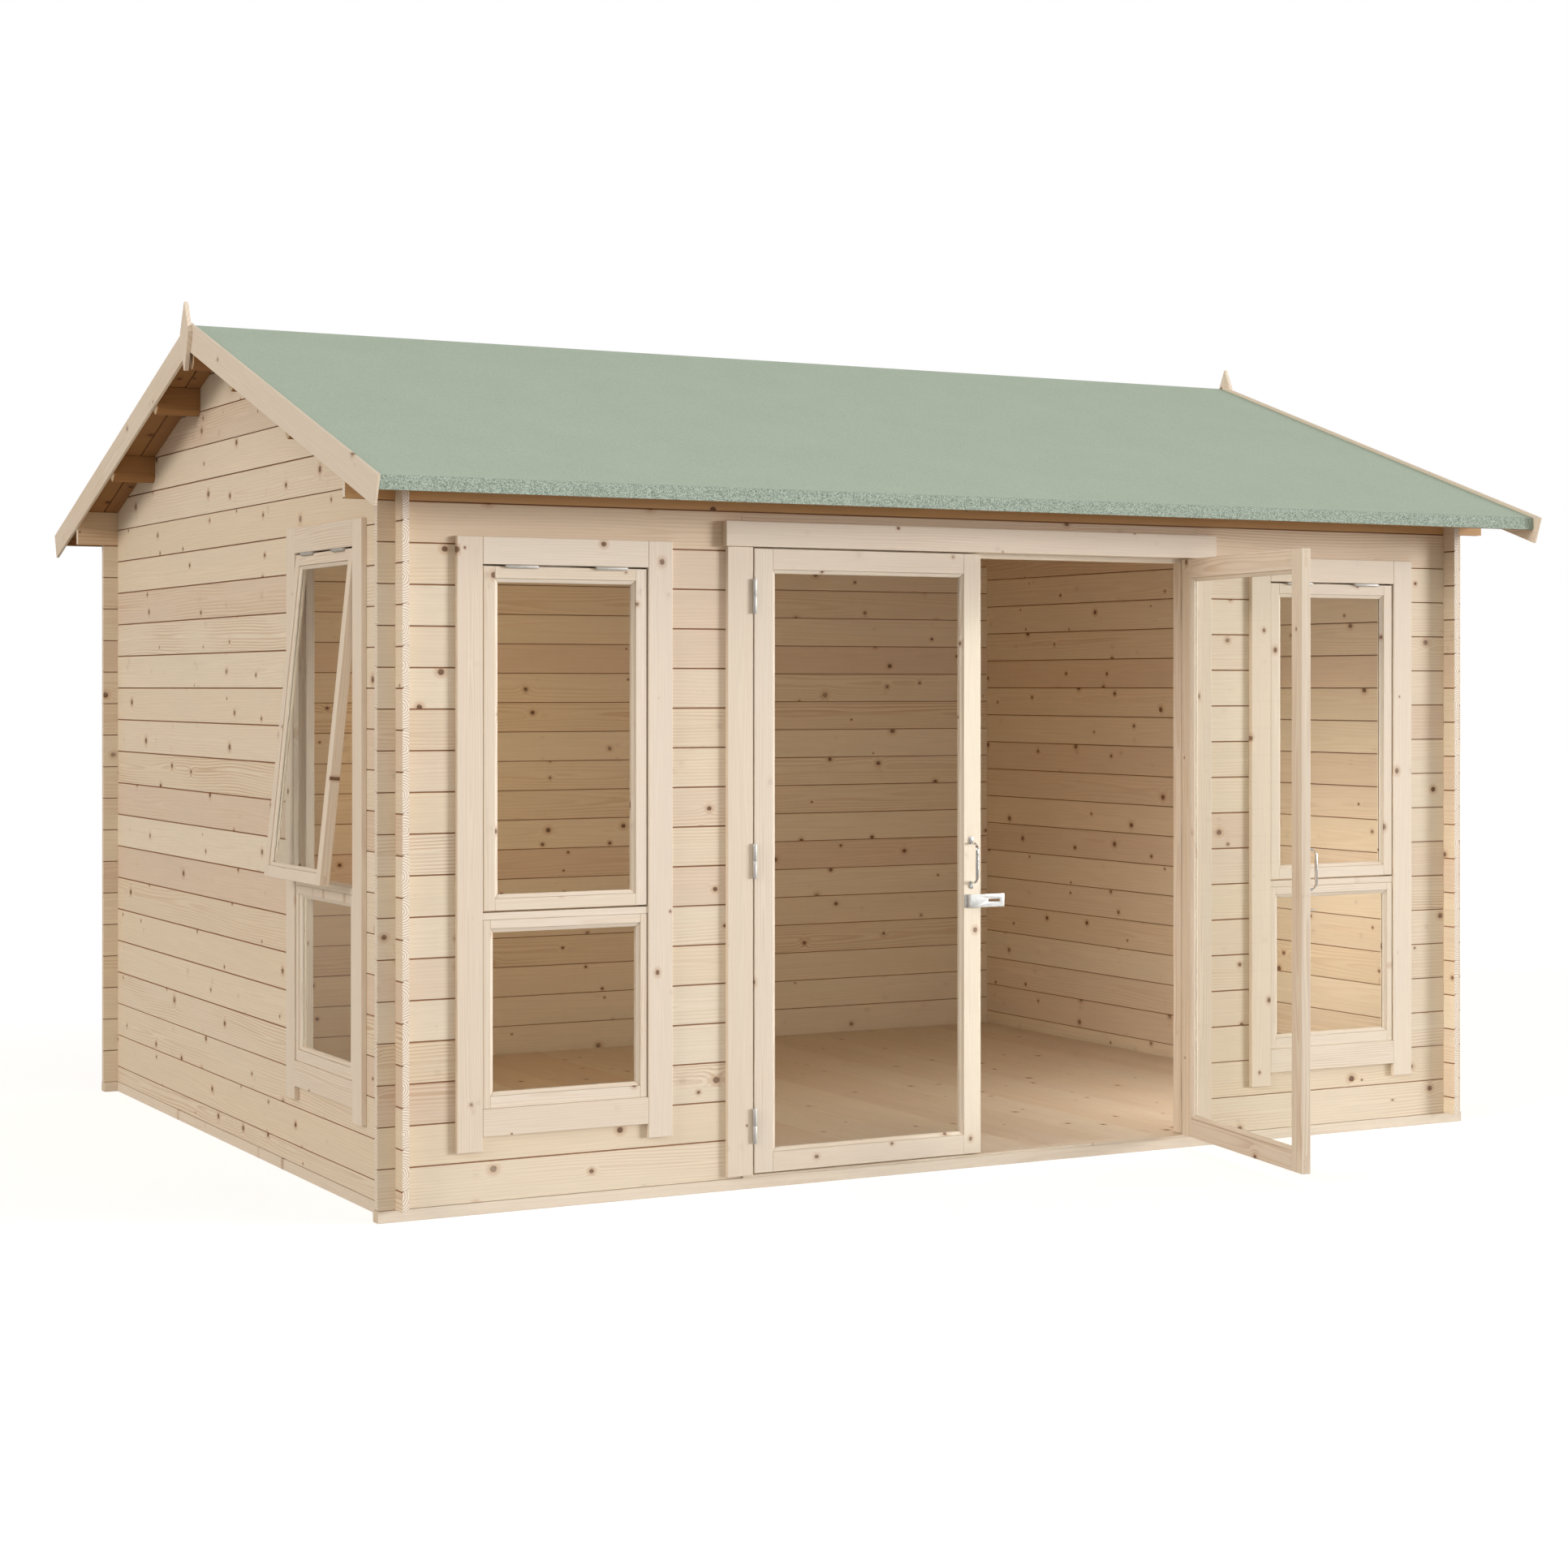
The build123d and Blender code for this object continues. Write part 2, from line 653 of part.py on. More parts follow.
# Top-hung window, drawn about the middle of its opening with the wall face at y = 0
def window(name, place, ajar):
    half = window_width / 2
    inner = half - frame_side_thickness
    sill = window_sill + tongue_height
    sill_top = sill + frame_sill_thickness
    head_foot = window_head - frame_head_thickness
    sash_top = head_foot - sash_head_gap
    sash_foot = sash_top - upper_sash_height
    transom_top = sash_foot - sash_foot_gap
    transom_foot = transom_top - transom_thickness
    face = -sash_proud
    depth = (0, window_frame_depth)
    head = window_head - fit_gap
    span = (fit_gap - inner, inner - fit_gap)
    stop_depth = (face + sash_thickness + sash_stop_gap, window_frame_depth)
    stop_foot = sash_top - sash_stop_cover
    lip = inner - sash_gap - sash_stop_cover
    side_stop = (*stop_depth, transom_top + fit_gap, stop_foot - fit_gap)
    frame = [block(-half, -inner, *depth, sill, head) + block(-inner, -lip, *side_stop),
             block(inner, half, *depth, sill, head) + block(lip, inner, *side_stop)]
    frame.append(block(*span, *depth, sill, sill_top))
    frame.append(block(*span, *depth, head_foot, head) + block(*span, *stop_depth, stop_foot, head_foot))
    frame.append(block(*span, face, window_frame_depth, transom_foot, transom_top))
    fixed = framed_light(*span, sill_top + fit_gap, transom_foot - fit_gap, face, sash_thickness,
                         light_stile_width, light_foot_rail_width, light_top_rail_width)
    sash_half = inner - sash_gap
    upper = framed_light(-sash_half, sash_half, sash_foot, sash_top, face, sash_thickness,
                         sash_stile_width, sash_rail_width, sash_rail_width)
    tilt = Pos(0, face, sash_top) * Rot(-ajar, 0, 0) * Pos(0, -face, -sash_top)
    trim_top = window_head + trim_head_rise
    head_trim_foot = trim_top - window_trim_width
    half_hinge = window_hinge_length / 2
    axis_y = face - window_hinge_radius - 2 * fit_gap
    axis_z = head_trim_foot - window_hinge_radius - fit_gap
    hinges = []
    for side in (-1, 1):
        middle = side * (sash_half - window_hinge_inset)
        run = (middle - half_hinge, middle + half_hinge)
        barrel = extrude(RegularPolygon(window_hinge_radius, knuckle_sides), window_hinge_length)
        knuckle = Pos(run[0], axis_y, axis_z) * Rot(0, 90, 0) * barrel
        plate = block(*run, axis_y, sash_thickness / 2, sash_top + fit_gap, head_trim_foot - fit_gap)
        hinges.append(knuckle + plate)
    edge = inner
    outer = inner + window_trim_width
    trim_foot = window_sill - trim_foot_drop
    sill_trim_foot = window_sill - sill_trim_drop
    front = (-trim_thickness, 0)
    bar = (fit_gap - edge, edge - fit_gap)
    sides = ((-outer, -edge), (edge, outer))
    trim = [block(*run, *front, trim_foot, trim_top) for run in sides]
    trim.append(block(*bar, *front, head_trim_foot, trim_top))
    trim.append(block(*bar, *front, sill_trim_foot, sill_trim_foot + window_trim_width))
    keep(f"{name}_frame", [place * piece for piece in frame + fixed[0]])
    keep(f"{name}_sash", [place * tilt * piece for piece in upper[0]])
    keep(f"{name}_glass", [place * fixed[1], place * tilt * upper[1]])
    keep(f"{name}_trim", [place * piece for piece in trim])
    return [place * hinge for hinge in hinges]


keep("foundation_bearers", bearers())
keep("floor_joists", joists())
keep("floor_boards", floor())

left_window_x = wall_left + window_offset
right_window_x = wall_right - window_offset
side_window_y = wall_front + side_window_offset
left_run = (stub_left, doorway_left - fit_gap)
right_run = (doorway_right + fit_gap, stub_right)
keep("front_wall_left_logs", front_wall_side(*left_run, left_window_x, left_line))
keep("front_wall_right_logs", front_wall_side(*right_run, right_window_x, right_line))
keep("front_wall_top_logs", front_wall_top())
keep("back_wall_logs", back_wall())
keep("left_wall_logs", side_wall(left_line, side_window_y))
keep("right_wall_logs", side_wall(right_line, None))
keep("left_gable_logs", gable(left_line))
keep("right_gable_logs", gable(right_line))

front_boards = roof_board_outline()
front_felt = felt_outline()
front_batten = batten_outline()
keep("roof_purlins", purlins())
keep("front_roof_boards", [prism_along_x(front_boards, roof_left, roof_right)])
keep("back_roof_boards", [prism_along_x(mirrored(front_boards), roof_left, roof_right)])
keep("front_roof_felt", [prism_along_x(front_felt, roof_left, roof_right)])
keep("back_roof_felt", [prism_along_x(mirrored(front_felt), roof_left, roof_right)])
keep("eaves_battens", [prism_along_x(points, roof_left, roof_right)
                       for points in (front_batten, mirrored(front_batten))])
keep("left_barge_boards", barge_pair(roof_left - barge_thickness, roof_left))
keep("right_barge_boards", barge_pair(roof_right, roof_right + barge_thickness))
left_barge_face = roof_left - barge_thickness
right_barge_face = roof_right + barge_thickness
keep("finials", [finial(left_barge_face - finial_thickness, left_barge_face),
                 finial(right_barge_face, right_barge_face + finial_thickness)])

keep("door_frame", door_frame())
keep("door_trim", door_trim())
keep("door_threshold", threshold())
left_door()
right_door()
keep("door_frame_hinge_plates", frame_hinges())

window_hinges = window("left_front_window", Pos(left_window_x, wall_front, 0), 0)
window_hinges += window("right_front_window", Pos(right_window_x, wall_front, 0), 0)
side_place = Pos(wall_left, side_window_y, half_log) * Rot(0, 0, -90)
window_hinges += window("side_window", side_place, open_sash_angle)
keep("window_hinges", window_hinges)

for name, solids in nodes.items():
    shape = solids[0] if len(solids) == 1 else Compound(solids)
    export_step(shape, f"parts/{name}.step")
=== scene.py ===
import json
import math
import random

import bmesh
import bpy
import numpy as np
from mathutils import Matrix, Vector


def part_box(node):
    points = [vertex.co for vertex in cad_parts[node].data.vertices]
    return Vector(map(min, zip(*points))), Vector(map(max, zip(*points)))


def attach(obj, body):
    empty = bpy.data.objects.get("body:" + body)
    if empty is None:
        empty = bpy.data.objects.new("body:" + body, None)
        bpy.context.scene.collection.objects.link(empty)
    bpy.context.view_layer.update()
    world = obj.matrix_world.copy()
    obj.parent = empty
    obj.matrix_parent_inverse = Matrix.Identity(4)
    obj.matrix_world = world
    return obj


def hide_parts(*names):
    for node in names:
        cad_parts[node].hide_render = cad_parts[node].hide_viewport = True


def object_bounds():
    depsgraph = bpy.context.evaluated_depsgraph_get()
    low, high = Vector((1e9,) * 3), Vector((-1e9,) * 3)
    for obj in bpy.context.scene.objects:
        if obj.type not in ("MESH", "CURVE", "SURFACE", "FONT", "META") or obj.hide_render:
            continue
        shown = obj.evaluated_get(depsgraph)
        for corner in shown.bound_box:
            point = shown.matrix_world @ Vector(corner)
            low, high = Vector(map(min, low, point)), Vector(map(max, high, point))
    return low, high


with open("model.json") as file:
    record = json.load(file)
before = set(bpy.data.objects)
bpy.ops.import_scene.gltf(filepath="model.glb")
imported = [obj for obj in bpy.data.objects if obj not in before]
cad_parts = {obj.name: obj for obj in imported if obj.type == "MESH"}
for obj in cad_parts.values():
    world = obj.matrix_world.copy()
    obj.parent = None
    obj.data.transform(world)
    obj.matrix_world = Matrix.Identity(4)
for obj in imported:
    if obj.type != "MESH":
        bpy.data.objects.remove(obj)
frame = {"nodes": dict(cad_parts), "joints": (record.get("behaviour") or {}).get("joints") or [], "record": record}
cadBox = [list(corner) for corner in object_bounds()]
cabinMiddle = (Vector(cadBox[0]) + Vector(cadBox[1])) / 2
bodies = frame["record"]["behaviour"]["bodies"]
bodyOf = {node: body for body, nodes in bodies.items() for node in nodes}
slotOf = {entry["node"]: entry["material_slot"] for entry in frame["record"]["subparts"]}
print("frame loaded,", len(frame["nodes"]), "CAD pieces")


# small helpers for node trees

def join(tree, value, socket):
    # a socket is linked, a plain value is set
    if isinstance(value, bpy.types.NodeSocket):
        tree.links.new(value, socket)
    else:
        socket.default_value = value


def addNode(tree, kind, inputs=None, **settings):
    made = tree.nodes.new(kind)
    for name, value in settings.items():
        setattr(made, name, value)
    for socket, value in (inputs or {}).items():
        join(tree, value, made.inputs[socket])
    return made


def calc(tree, operation, *terms):
    return addNode(tree, "ShaderNodeMath", dict(enumerate(terms)), operation=operation).outputs[0]


def times(tree, *terms):
    product = terms[0]
    for term in terms[1:]:
        product = calc(tree, "MULTIPLY", product, term)
    return product


def strayed(tree, base, chance, amount):
    # base moved up or down by as much as half the amount
    return calc(tree, "MULTIPLY_ADD", calc(tree, "SUBTRACT", chance, 0.5), amount, base)


def atLeast(tree, value, least):
    # 0 to 1 becomes least to 1
    return calc(tree, "MULTIPLY_ADD", value, 1 - least, least)


def fade(tree, value, low, high):
    # 0 at low, 1 at high, smooth between
    return addNode(tree, "ShaderNodeMapRange", {"Value": value, "From Min": low, "From Max": high},
                   interpolation_type="SMOOTHSTEP").outputs["Result"]


def between(tree, share, first, second):
    # a number part of the way from first to second
    return addNode(tree, "ShaderNodeMix", {0: share, 2: first, 3: second}, data_type="FLOAT").outputs[0]


def mixTone(tree, share, first, second, mode="MIX"):
    tones = [tone if isinstance(tone, bpy.types.NodeSocket) else (*tone, 1) for tone in (first, second)]
    return addNode(tree, "ShaderNodeMix", {0: share, 6: tones[0], 7: tones[1]},
                   data_type="RGBA", blend_type=mode).outputs[2]


def vector(tree, x, y, z):
    return addNode(tree, "ShaderNodeCombineXYZ", {0: x, 1: y, 2: z}).outputs[0]


def apart(tree, source):
    return addNode(tree, "ShaderNodeSeparateXYZ", {0: source}).outputs


def shaded(tree, tone, shade):
    return mixTone(tree, 1.0, tone, vector(tree, shade, shade, shade), "MULTIPLY")


def chances(tree, number):
    # three random numbers that stay the same for one piece of timber
    dice = addNode(tree, "ShaderNodeTexWhiteNoise", {"W": number}, noise_dimensions="1D")
    return apart(tree, dice.outputs["Color"])


def grains(tree, where, size):
    # three random numbers for each grain of a surface
    cells = addNode(tree, "ShaderNodeTexVoronoi", {"Vector": where, "Scale": 1 / size},
                    voronoi_dimensions="3D")
    return apart(tree, cells.outputs["Color"])


def noise(tree, where, scale, detail=2.0):
    return addNode(tree, "ShaderNodeTexNoise", {"Vector": where, "Scale": scale, "Detail": detail},
                   noise_dimensions="3D").outputs["Fac"]


def stretchedNoise(tree, place, scales):
    where = vector(tree, *[times(tree, way, scale) for way, scale in zip(place, scales)])
    return noise(tree, where, 1.0)


def addBump(tree, shader, height, strength, depth):
    bump = addNode(tree, "ShaderNodeBump", {"Strength": strength, "Distance": depth, "Height": height})
    join(tree, bump.outputs["Normal"], shader.inputs["Normal"])


def newTree(name, inputs, outputs=None):
    # each socket's kind by its name; without outputs the tree makes geometry
    tree = bpy.data.node_groups.new(name, "ShaderNodeTree" if outputs else "GeometryNodeTree")
    sockets = {}
    for way, kinds in (("OUTPUT", outputs or {"Geometry": "Geometry"}), ("INPUT", inputs)):
        for label, kind in kinds.items():
            made = tree.interface.new_socket(label, in_out=way, socket_type="NodeSocket" + kind)
            sockets[label] = made.identifier
    given, result = addNode(tree, "NodeGroupInput").outputs, addNode(tree, "NodeGroupOutput").inputs
    return tree, sockets, given, result


def newMaterial(name):
    made = bpy.data.materials.new(name)
    made.use_nodes = True
    return made, made.node_tree, made.node_tree.nodes["Principled BSDF"]


# spruce: growth rings about a pith line, knots that cross the board, fine fibre

figure = {
    "pithSpread": 0.03,  # how far the pith may lie to either side of a board
    "pithNear": 0.008,  # least and most way from the middle of a board out to the pith
    "pithFar": 0.021,
    "sway": 0.034,  # how far the pith wanders along a board
    "swayPitch": 0.9,  # wanders for each metre
    "swayDetail": 1.0,
    "warp": 0.014,  # how far the rings waver
    "wavers": (1.7, 24.0, 24.0),  # wavers, clouds and fibres for each metre along, across and through
    "clouds": (1.3, 9.0, 1.0),
    "fibres": (7.0, 330.0, 330.0),
    "lateWood": (0.2, 0.82),  # where in a ring the dark wood starts and is full
    "ringEnd": (1.0, 0.88),  # and where it is gone again
    "boldPower": 2.4,  # few boards have bold rings
    "boldLeast": 0.16,
    "patches": (0.36, 0.62),  # clouds where the rings fade out and in
    "patchLeast": 0.25,
    "knotRow": 0.085,  # room across the board for one knot
    "knotStretch": 0.75,  # under 1 makes a knot longer along the board
    "knotRagged": 0.003,  # unevenness of a knot's rim, and how fine it is
    "raggedPitch": 210.0,
    "raggedDetail": 1.0,
    "knotLeast": 0.28,  # the smallest knot beside the largest
    "heart": 0.72,  # shares of a knot's size: full dark, then the halo's rim and full tone
    "halo": (2.6, 0.8),
    "bendReach": 2.4,  # rings bend round a knot, less and less in a bell curve
    "bendBase": 0.3679,
    "bend": 1.6,
    "shuffle": {"first": 617.3, "second": 239.7, "start": 31.0, "run": 53.0, "row": 17.0},
}


def makeSpruceFigure():
    numbers = ("Seed", "End Face", "Ring Width", "End Ring Width", "Knot Pitch", "Knot Share", "Knot Size")
    inputs = {"Place": "Vector", **dict.fromkeys(numbers, "Float")}
    outputs = dict.fromkeys(("Rings", "Knot", "Halo", "Fibre", "Cloud", "Tone", "Blush"), "Float")
    tree, _, given, result = newTree("spruceFigure", inputs, outputs)
    x, y, z = apart(tree, given["Place"])
    seed, shuffle = given["Seed"], figure["shuffle"]
    first = chances(tree, times(tree, seed, shuffle["first"]))
    second = chances(tree, calc(tree, "MULTIPLY_ADD", seed, shuffle["second"], shuffle["start"]))
    run = calc(tree, "MULTIPLY_ADD", seed, shuffle["run"], x)
    sway = addNode(tree, "ShaderNodeTexNoise", {
        "W": run, "Scale": figure["swayPitch"], "Detail": figure["swayDetail"]}, noise_dimensions="1D")
    swayX, swayY = apart(tree, sway.outputs["Color"])[:2]

    # knots: one chance in each cell of a stretched grid, in real distances
    row, pitch = figure["knotRow"], given["Knot Pitch"]
    cellX = calc(tree, "DIVIDE", run, pitch)
    cellY = calc(tree, "MULTIPLY_ADD", y, 1 / row, times(tree, second[0], shuffle["row"]))
    cells = addNode(tree, "ShaderNodeTexVoronoi", {"Vector": vector(tree, cellX, cellY, 0.0), "Scale": 1.0},
                    voronoi_dimensions="2D")
    heart = apart(tree, cells.outputs["Position"])
    luck = apart(tree, cells.outputs["Color"])
    awayX = times(tree, calc(tree, "SUBTRACT", cellX, heart[0]), pitch)
    awayY = times(tree, calc(tree, "SUBTRACT", cellY, heart[1]), row)
    squares = calc(tree, "MULTIPLY_ADD", times(tree, awayX, awayX), figure["knotStretch"],
                   times(tree, awayY, awayY))
    ragged = noise(tree, given["Place"], figure["raggedPitch"], figure["raggedDetail"])
    away = strayed(tree, calc(tree, "SQRT", squares), ragged, figure["knotRagged"])
    size = times(tree, given["Knot Size"], atLeast(tree, luck[1], figure["knotLeast"]))
    present = calc(tree, "LESS_THAN", luck[0], given["Knot Share"])
    knot = times(tree, fade(tree, away, size, times(tree, size, figure["heart"])), present)
    halo = times(tree, fade(tree, away, *[times(tree, size, share) for share in figure["halo"]]), present)
    spreadOut = calc(tree, "DIVIDE", away, times(tree, size, figure["bendReach"]))
    swell = calc(tree, "POWER", figure["bendBase"], times(tree, spreadOut, spreadOut))
    bend = times(tree, swell, present, times(tree, size, figure["bend"]))

    # rings about the pith
    aside = strayed(tree, y, first[0], figure["pithSpread"])
    aside = strayed(tree, aside, swayX, figure["sway"])
    depth = calc(tree, "MULTIPLY_ADD", first[1], figure["pithFar"] - figure["pithNear"], figure["pithNear"])
    depth = calc(tree, "ADD", z, strayed(tree, depth, swayY, figure["sway"]))
    reach = calc(tree, "SQRT", calc(tree, "MULTIPLY_ADD", aside, aside, times(tree, depth, depth)))
    waver = stretchedNoise(tree, (run, y, z), figure["wavers"])
    reach = calc(tree, "ADD", calc(tree, "MULTIPLY_ADD", waver, figure["warp"], reach), bend)
    width = between(tree, given["End Face"], given["Ring Width"], given["End Ring Width"])
    saw = calc(tree, "FRACT", calc(tree, "DIVIDE", reach, width))
    late = times(tree, fade(tree, saw, *figure["lateWood"]), fade(tree, saw, *figure["ringEnd"]))
    cloud = stretchedNoise(tree, (run, y, z), figure["clouds"])
    bold = atLeast(tree, calc(tree, "POWER", second[1], figure["boldPower"]), figure["boldLeast"])
    patch = atLeast(tree, fade(tree, cloud, *figure["patches"]), figure["patchLeast"])
    rings = times(tree, late, calc(tree, "MAXIMUM", times(tree, bold, patch), given["End Face"]))

    fibre = stretchedNoise(tree, (run, y, z), figure["fibres"])
    for label, value in zip(outputs, (rings, knot, halo, fibre, cloud, first[2], second[2])):
        join(tree, value, result[label])
    return tree


spruceFigure = makeSpruceFigure()

timberLooks = {
    "logTimber": {
        "pale": (0.785, 0.685, 0.535), "warm": (0.75, 0.625, 0.455), "blush": (0.69, 0.54, 0.405),
        # the next colour is painted shade, for logs in the shade under the eaves
        "paintedEavesShade": (0.55, 0.28, 0.078), "ring": (0.52, 0.325, 0.185), "ringShare": 0.7,
        "halo": (0.50, 0.29, 0.15), "knot": (0.12, 0.05, 0.022),
        "end": (0.90, 0.82, 0.70), "endRing": (0.42, 0.26, 0.14), "ringWidth": 0.0095, "endRingWidth": 0.0068,
        "knotPitch": 0.30, "knotShare": 0.5, "knotSize": 0.0115,
    },
    "planedTimber": {
        "pale": (0.775, 0.68, 0.56), "warm": (0.755, 0.645, 0.505), "blush": (0.745, 0.635, 0.51),
        "ring": (0.54, 0.365, 0.225), "ringShare": 0.62,
        "halo": (0.49, 0.30, 0.17), "knot": (0.15, 0.065, 0.03),
        "end": (0.80, 0.69, 0.54), "endRing": (0.46, 0.31, 0.18), "ringWidth": 0.0075, "endRingWidth": 0.0052,
        "knotPitch": 0.30, "knotShare": 0.45, "knotSize": 0.0095,
    },
    "floorTimber": {
        "pale": (0.77, 0.67, 0.535), "warm": (0.73, 0.61, 0.455), "blush": (0.70, 0.555, 0.42),
        "ring": (0.48, 0.31, 0.175), "ringShare": 0.45,
        "halo": (0.48, 0.29, 0.15), "knot": (0.13, 0.055, 0.025),
        "end": (0.80, 0.69, 0.53), "endRing": (0.48, 0.33, 0.18), "ringWidth": 0.006, "endRingWidth": 0.0052,
        "knotPitch": 0.34, "knotShare": 0.45, "knotSize": 0.0105,
    },
    # roof timber is painted darker and oranger than the rest, as painted shade for the soffit and purlins under
    # the roof
    "roofTimberPaintedShade": {
        "pale": (0.375, 0.19, 0.067), "warm": (0.315, 0.153, 0.053), "blush": (0.32, 0.148, 0.056),
        "ring": (0.19, 0.08, 0.026), "ringShare": 0.5,
        "halo": (0.2, 0.08, 0.026), "knot": (0.06, 0.024, 0.01),
        "end": (0.60, 0.46, 0.30), "endRing": (0.36, 0.23, 0.12), "ringWidth": 0.0062, "endRingWidth": 0.0052,
        "knotPitch": 0.34, "knotShare": 0.55, "knotSize": 0.0115,
    },
}
timberMarks = {  # what all timbers share
    "Cloud": 0.16, "Fibre": -0.17,  # how far clouds and fibres change the shade
    "Blush": (0.55, 1.1),  # chances from which a board turns rosy
    "endRings": 0.75, "Halo": 0.55, "Knot": 0.9,  # how strongly the marks show
    "seam": (0.30, 0.125, 0.045), "seamShadeShare": 0.9,  # painted shade in the joints between logs
    "roughness": 0.68, "ringPolish": 0.12, "specular": 0.25,
    "bump": 0.25, "bumpDepth": 0.0004,
}


def makeTimber(name, look):
    material, tree, shader = newMaterial(name)
    marks = {label: addNode(tree, "ShaderNodeAttribute", attribute_name=label).outputs
             for label in ("grainPlace", "grainSeed", "endFace", "paintedSeamShade", "paintedEavesShade")}
    endFace = marks["endFace"]["Fac"]
    found = addNode(tree, "ShaderNodeGroup", node_tree=spruceFigure, inputs={
        "Place": marks["grainPlace"]["Vector"], "Seed": marks["grainSeed"]["Fac"], "End Face": endFace,
        "Ring Width": look["ringWidth"], "End Ring Width": look["endRingWidth"],
        "Knot Pitch": look["knotPitch"], "Knot Share": look["knotShare"],
        "Knot Size": look["knotSize"]}).outputs
    tone = mixTone(tree, found["Tone"], look["pale"], look["warm"])
    tone = mixTone(tree, fade(tree, found["Blush"], *timberMarks["Blush"]), tone, look["blush"])
    # painted shade under the eaves: logs near the roof are darkened towards orange-brown
    if "paintedEavesShade" in look:
        tone = mixTone(tree, marks["paintedEavesShade"]["Fac"], tone, look["paintedEavesShade"])
    cloud, fibre = (strayed(tree, 1.0, found[label], timberMarks[label]) for label in ("Cloud", "Fibre"))
    tone = shaded(tree, tone, times(tree, cloud, fibre))
    tone = mixTone(tree, times(tree, found["Rings"], look["ringShare"]), tone, look["ring"])
    cut = mixTone(tree, times(tree, found["Rings"], timberMarks["endRings"]), look["end"], look["endRing"])
    tone = mixTone(tree, endFace, tone, cut)
    onFace = calc(tree, "SUBTRACT", 1.0, endFace)
    for label, mark in (("Halo", "halo"), ("Knot", "knot")):
        tone = mixTone(tree, times(tree, found[label], timberMarks[label], onFace), tone, look[mark])
    # painted shade: the slopes of the joints between logs are coloured dark
    paintedSeamShade = times(tree, marks["paintedSeamShade"]["Fac"], timberMarks["seamShadeShare"])
    join(tree, mixTone(tree, paintedSeamShade, tone, timberMarks["seam"]), shader.inputs["Base Color"])
    rough, polish = timberMarks["roughness"], timberMarks["ringPolish"]
    join(tree, calc(tree, "MULTIPLY_ADD", found["Rings"], -polish, rough), shader.inputs["Roughness"])
    shader.inputs["Specular IOR Level"].default_value = timberMarks["specular"]
    addBump(tree, shader, found["Fibre"], timberMarks["bump"], timberMarks["bumpDepth"])
    return material


feltLook = {
    "green": (0.435, 0.52, 0.415), "dark": (0.02, 0.05, 0.03), "light": (0.50, 0.57, 0.48),
    "granule": 0.0023,  # size of a granule
    "turn": 1.6975, "turnBlend": 0.006,  # how far from the ridge line the felt turns down
    "fieldShare": 0.2, "dripShare": 0.74,  # how far granules leave the even green
    "mottle": 0.1, "mottlePitch": 5.0, "mottleDetail": 3.0,
    "roughness": 0.82, "granuleDull": 0.14, "bump": 0.35, "bumpDepth": 0.0012,
}


def makeFelt():
    material, tree, shader = newMaterial("greenFelt")
    where = addNode(tree, "ShaderNodeTexCoord").outputs["Object"]
    luck = grains(tree, where, feltLook["granule"])
    fromRidge = calc(tree, "ABSOLUTE", apart(tree, where)[1])
    drip = fade(tree, fromRidge, feltLook["turn"] - feltLook["turnBlend"], feltLook["turn"])
    share = between(tree, drip, feltLook["fieldShare"], feltLook["dripShare"])
    spark = mixTone(tree, luck[0], feltLook["dark"], feltLook["light"])
    mottle = noise(tree, where, feltLook["mottlePitch"], feltLook["mottleDetail"])
    tone = shaded(tree, feltLook["green"], strayed(tree, 1.0, mottle, feltLook["mottle"]))
    join(tree, mixTone(tree, share, tone, spark), shader.inputs["Base Color"])
    roughness = calc(tree, "MULTIPLY_ADD", luck[1], feltLook["granuleDull"], feltLook["roughness"])
    join(tree, roughness, shader.inputs["Roughness"])
    addBump(tree, shader, luck[2], feltLook["bump"], feltLook["bumpDepth"])
    return material


metalLooks = {
    "zincSteel": {"tone": (0.56, 0.545, 0.52), "dull": 0.5, "bright": 0.34, "fleck": 0.006, "metallic": 0.5},
    "dullSteel": {"tone": (0.62, 0.60, 0.55), "dull": 0.55, "bright": 0.4, "fleck": 0.006, "metallic": 0.3},
    "chrome": {"tone": (0.82, 0.82, 0.80), "dull": 0.2, "bright": 0.07, "fleck": 0.02, "metallic": 1.0},
}
metalMarks = {"fleckShade": 0.86, "smearPitch": 60.0, "smearDetail": 3.0}


def makeMetal(name, look):
    material, tree, shader = newMaterial(name)
    where = addNode(tree, "ShaderNodeTexCoord").outputs["Object"]
    darker = [part * metalMarks["fleckShade"] for part in look["tone"]]
    tone = mixTone(tree, grains(tree, where, look["fleck"])[0], look["tone"], darker)
    smear = noise(tree, where, metalMarks["smearPitch"], metalMarks["smearDetail"])
    join(tree, tone, shader.inputs["Base Color"])
    join(tree, between(tree, smear, look["bright"], look["dull"]), shader.inputs["Roughness"])
    shader.inputs["Metallic"].default_value = look["metallic"]
    return material


glassLook = {"tone": (0.97, 0.98, 0.955, 1), "shadow": (0.93, 0.95, 0.94, 1), "bending": 1.2}


def makeGlass():
    # sun and sky light pass the panes straight
    material, tree, shader = newMaterial("clearGlass")
    shader.inputs["Base Color"].default_value = glassLook["tone"]
    shader.inputs["Roughness"].default_value = 0.0
    shader.inputs["IOR"].default_value = glassLook["bending"]
    shader.inputs["Transmission Weight"].default_value = 1.0
    through = addNode(tree, "ShaderNodeBsdfTransparent", {"Color": glassLook["shadow"]})
    path = addNode(tree, "ShaderNodeLightPath")
    mix = addNode(tree, "ShaderNodeMixShader", {
        0: path.outputs["Is Shadow Ray"], 1: shader.outputs[0], 2: through.outputs[0]})
    join(tree, mix.outputs[0], tree.nodes["Material Output"].inputs["Surface"])
    return material


finishes = {name: makeTimber(name, look) for name, look in timberLooks.items()}
finishes["greenFelt"] = makeFelt()
finishes.update({name: makeMetal(name, look) for name, look in metalLooks.items()})
finishes["clearGlass"] = makeGlass()
print("finishes made,", len(finishes))


# parts: the separate solids of a mesh, each as a bmesh of its own

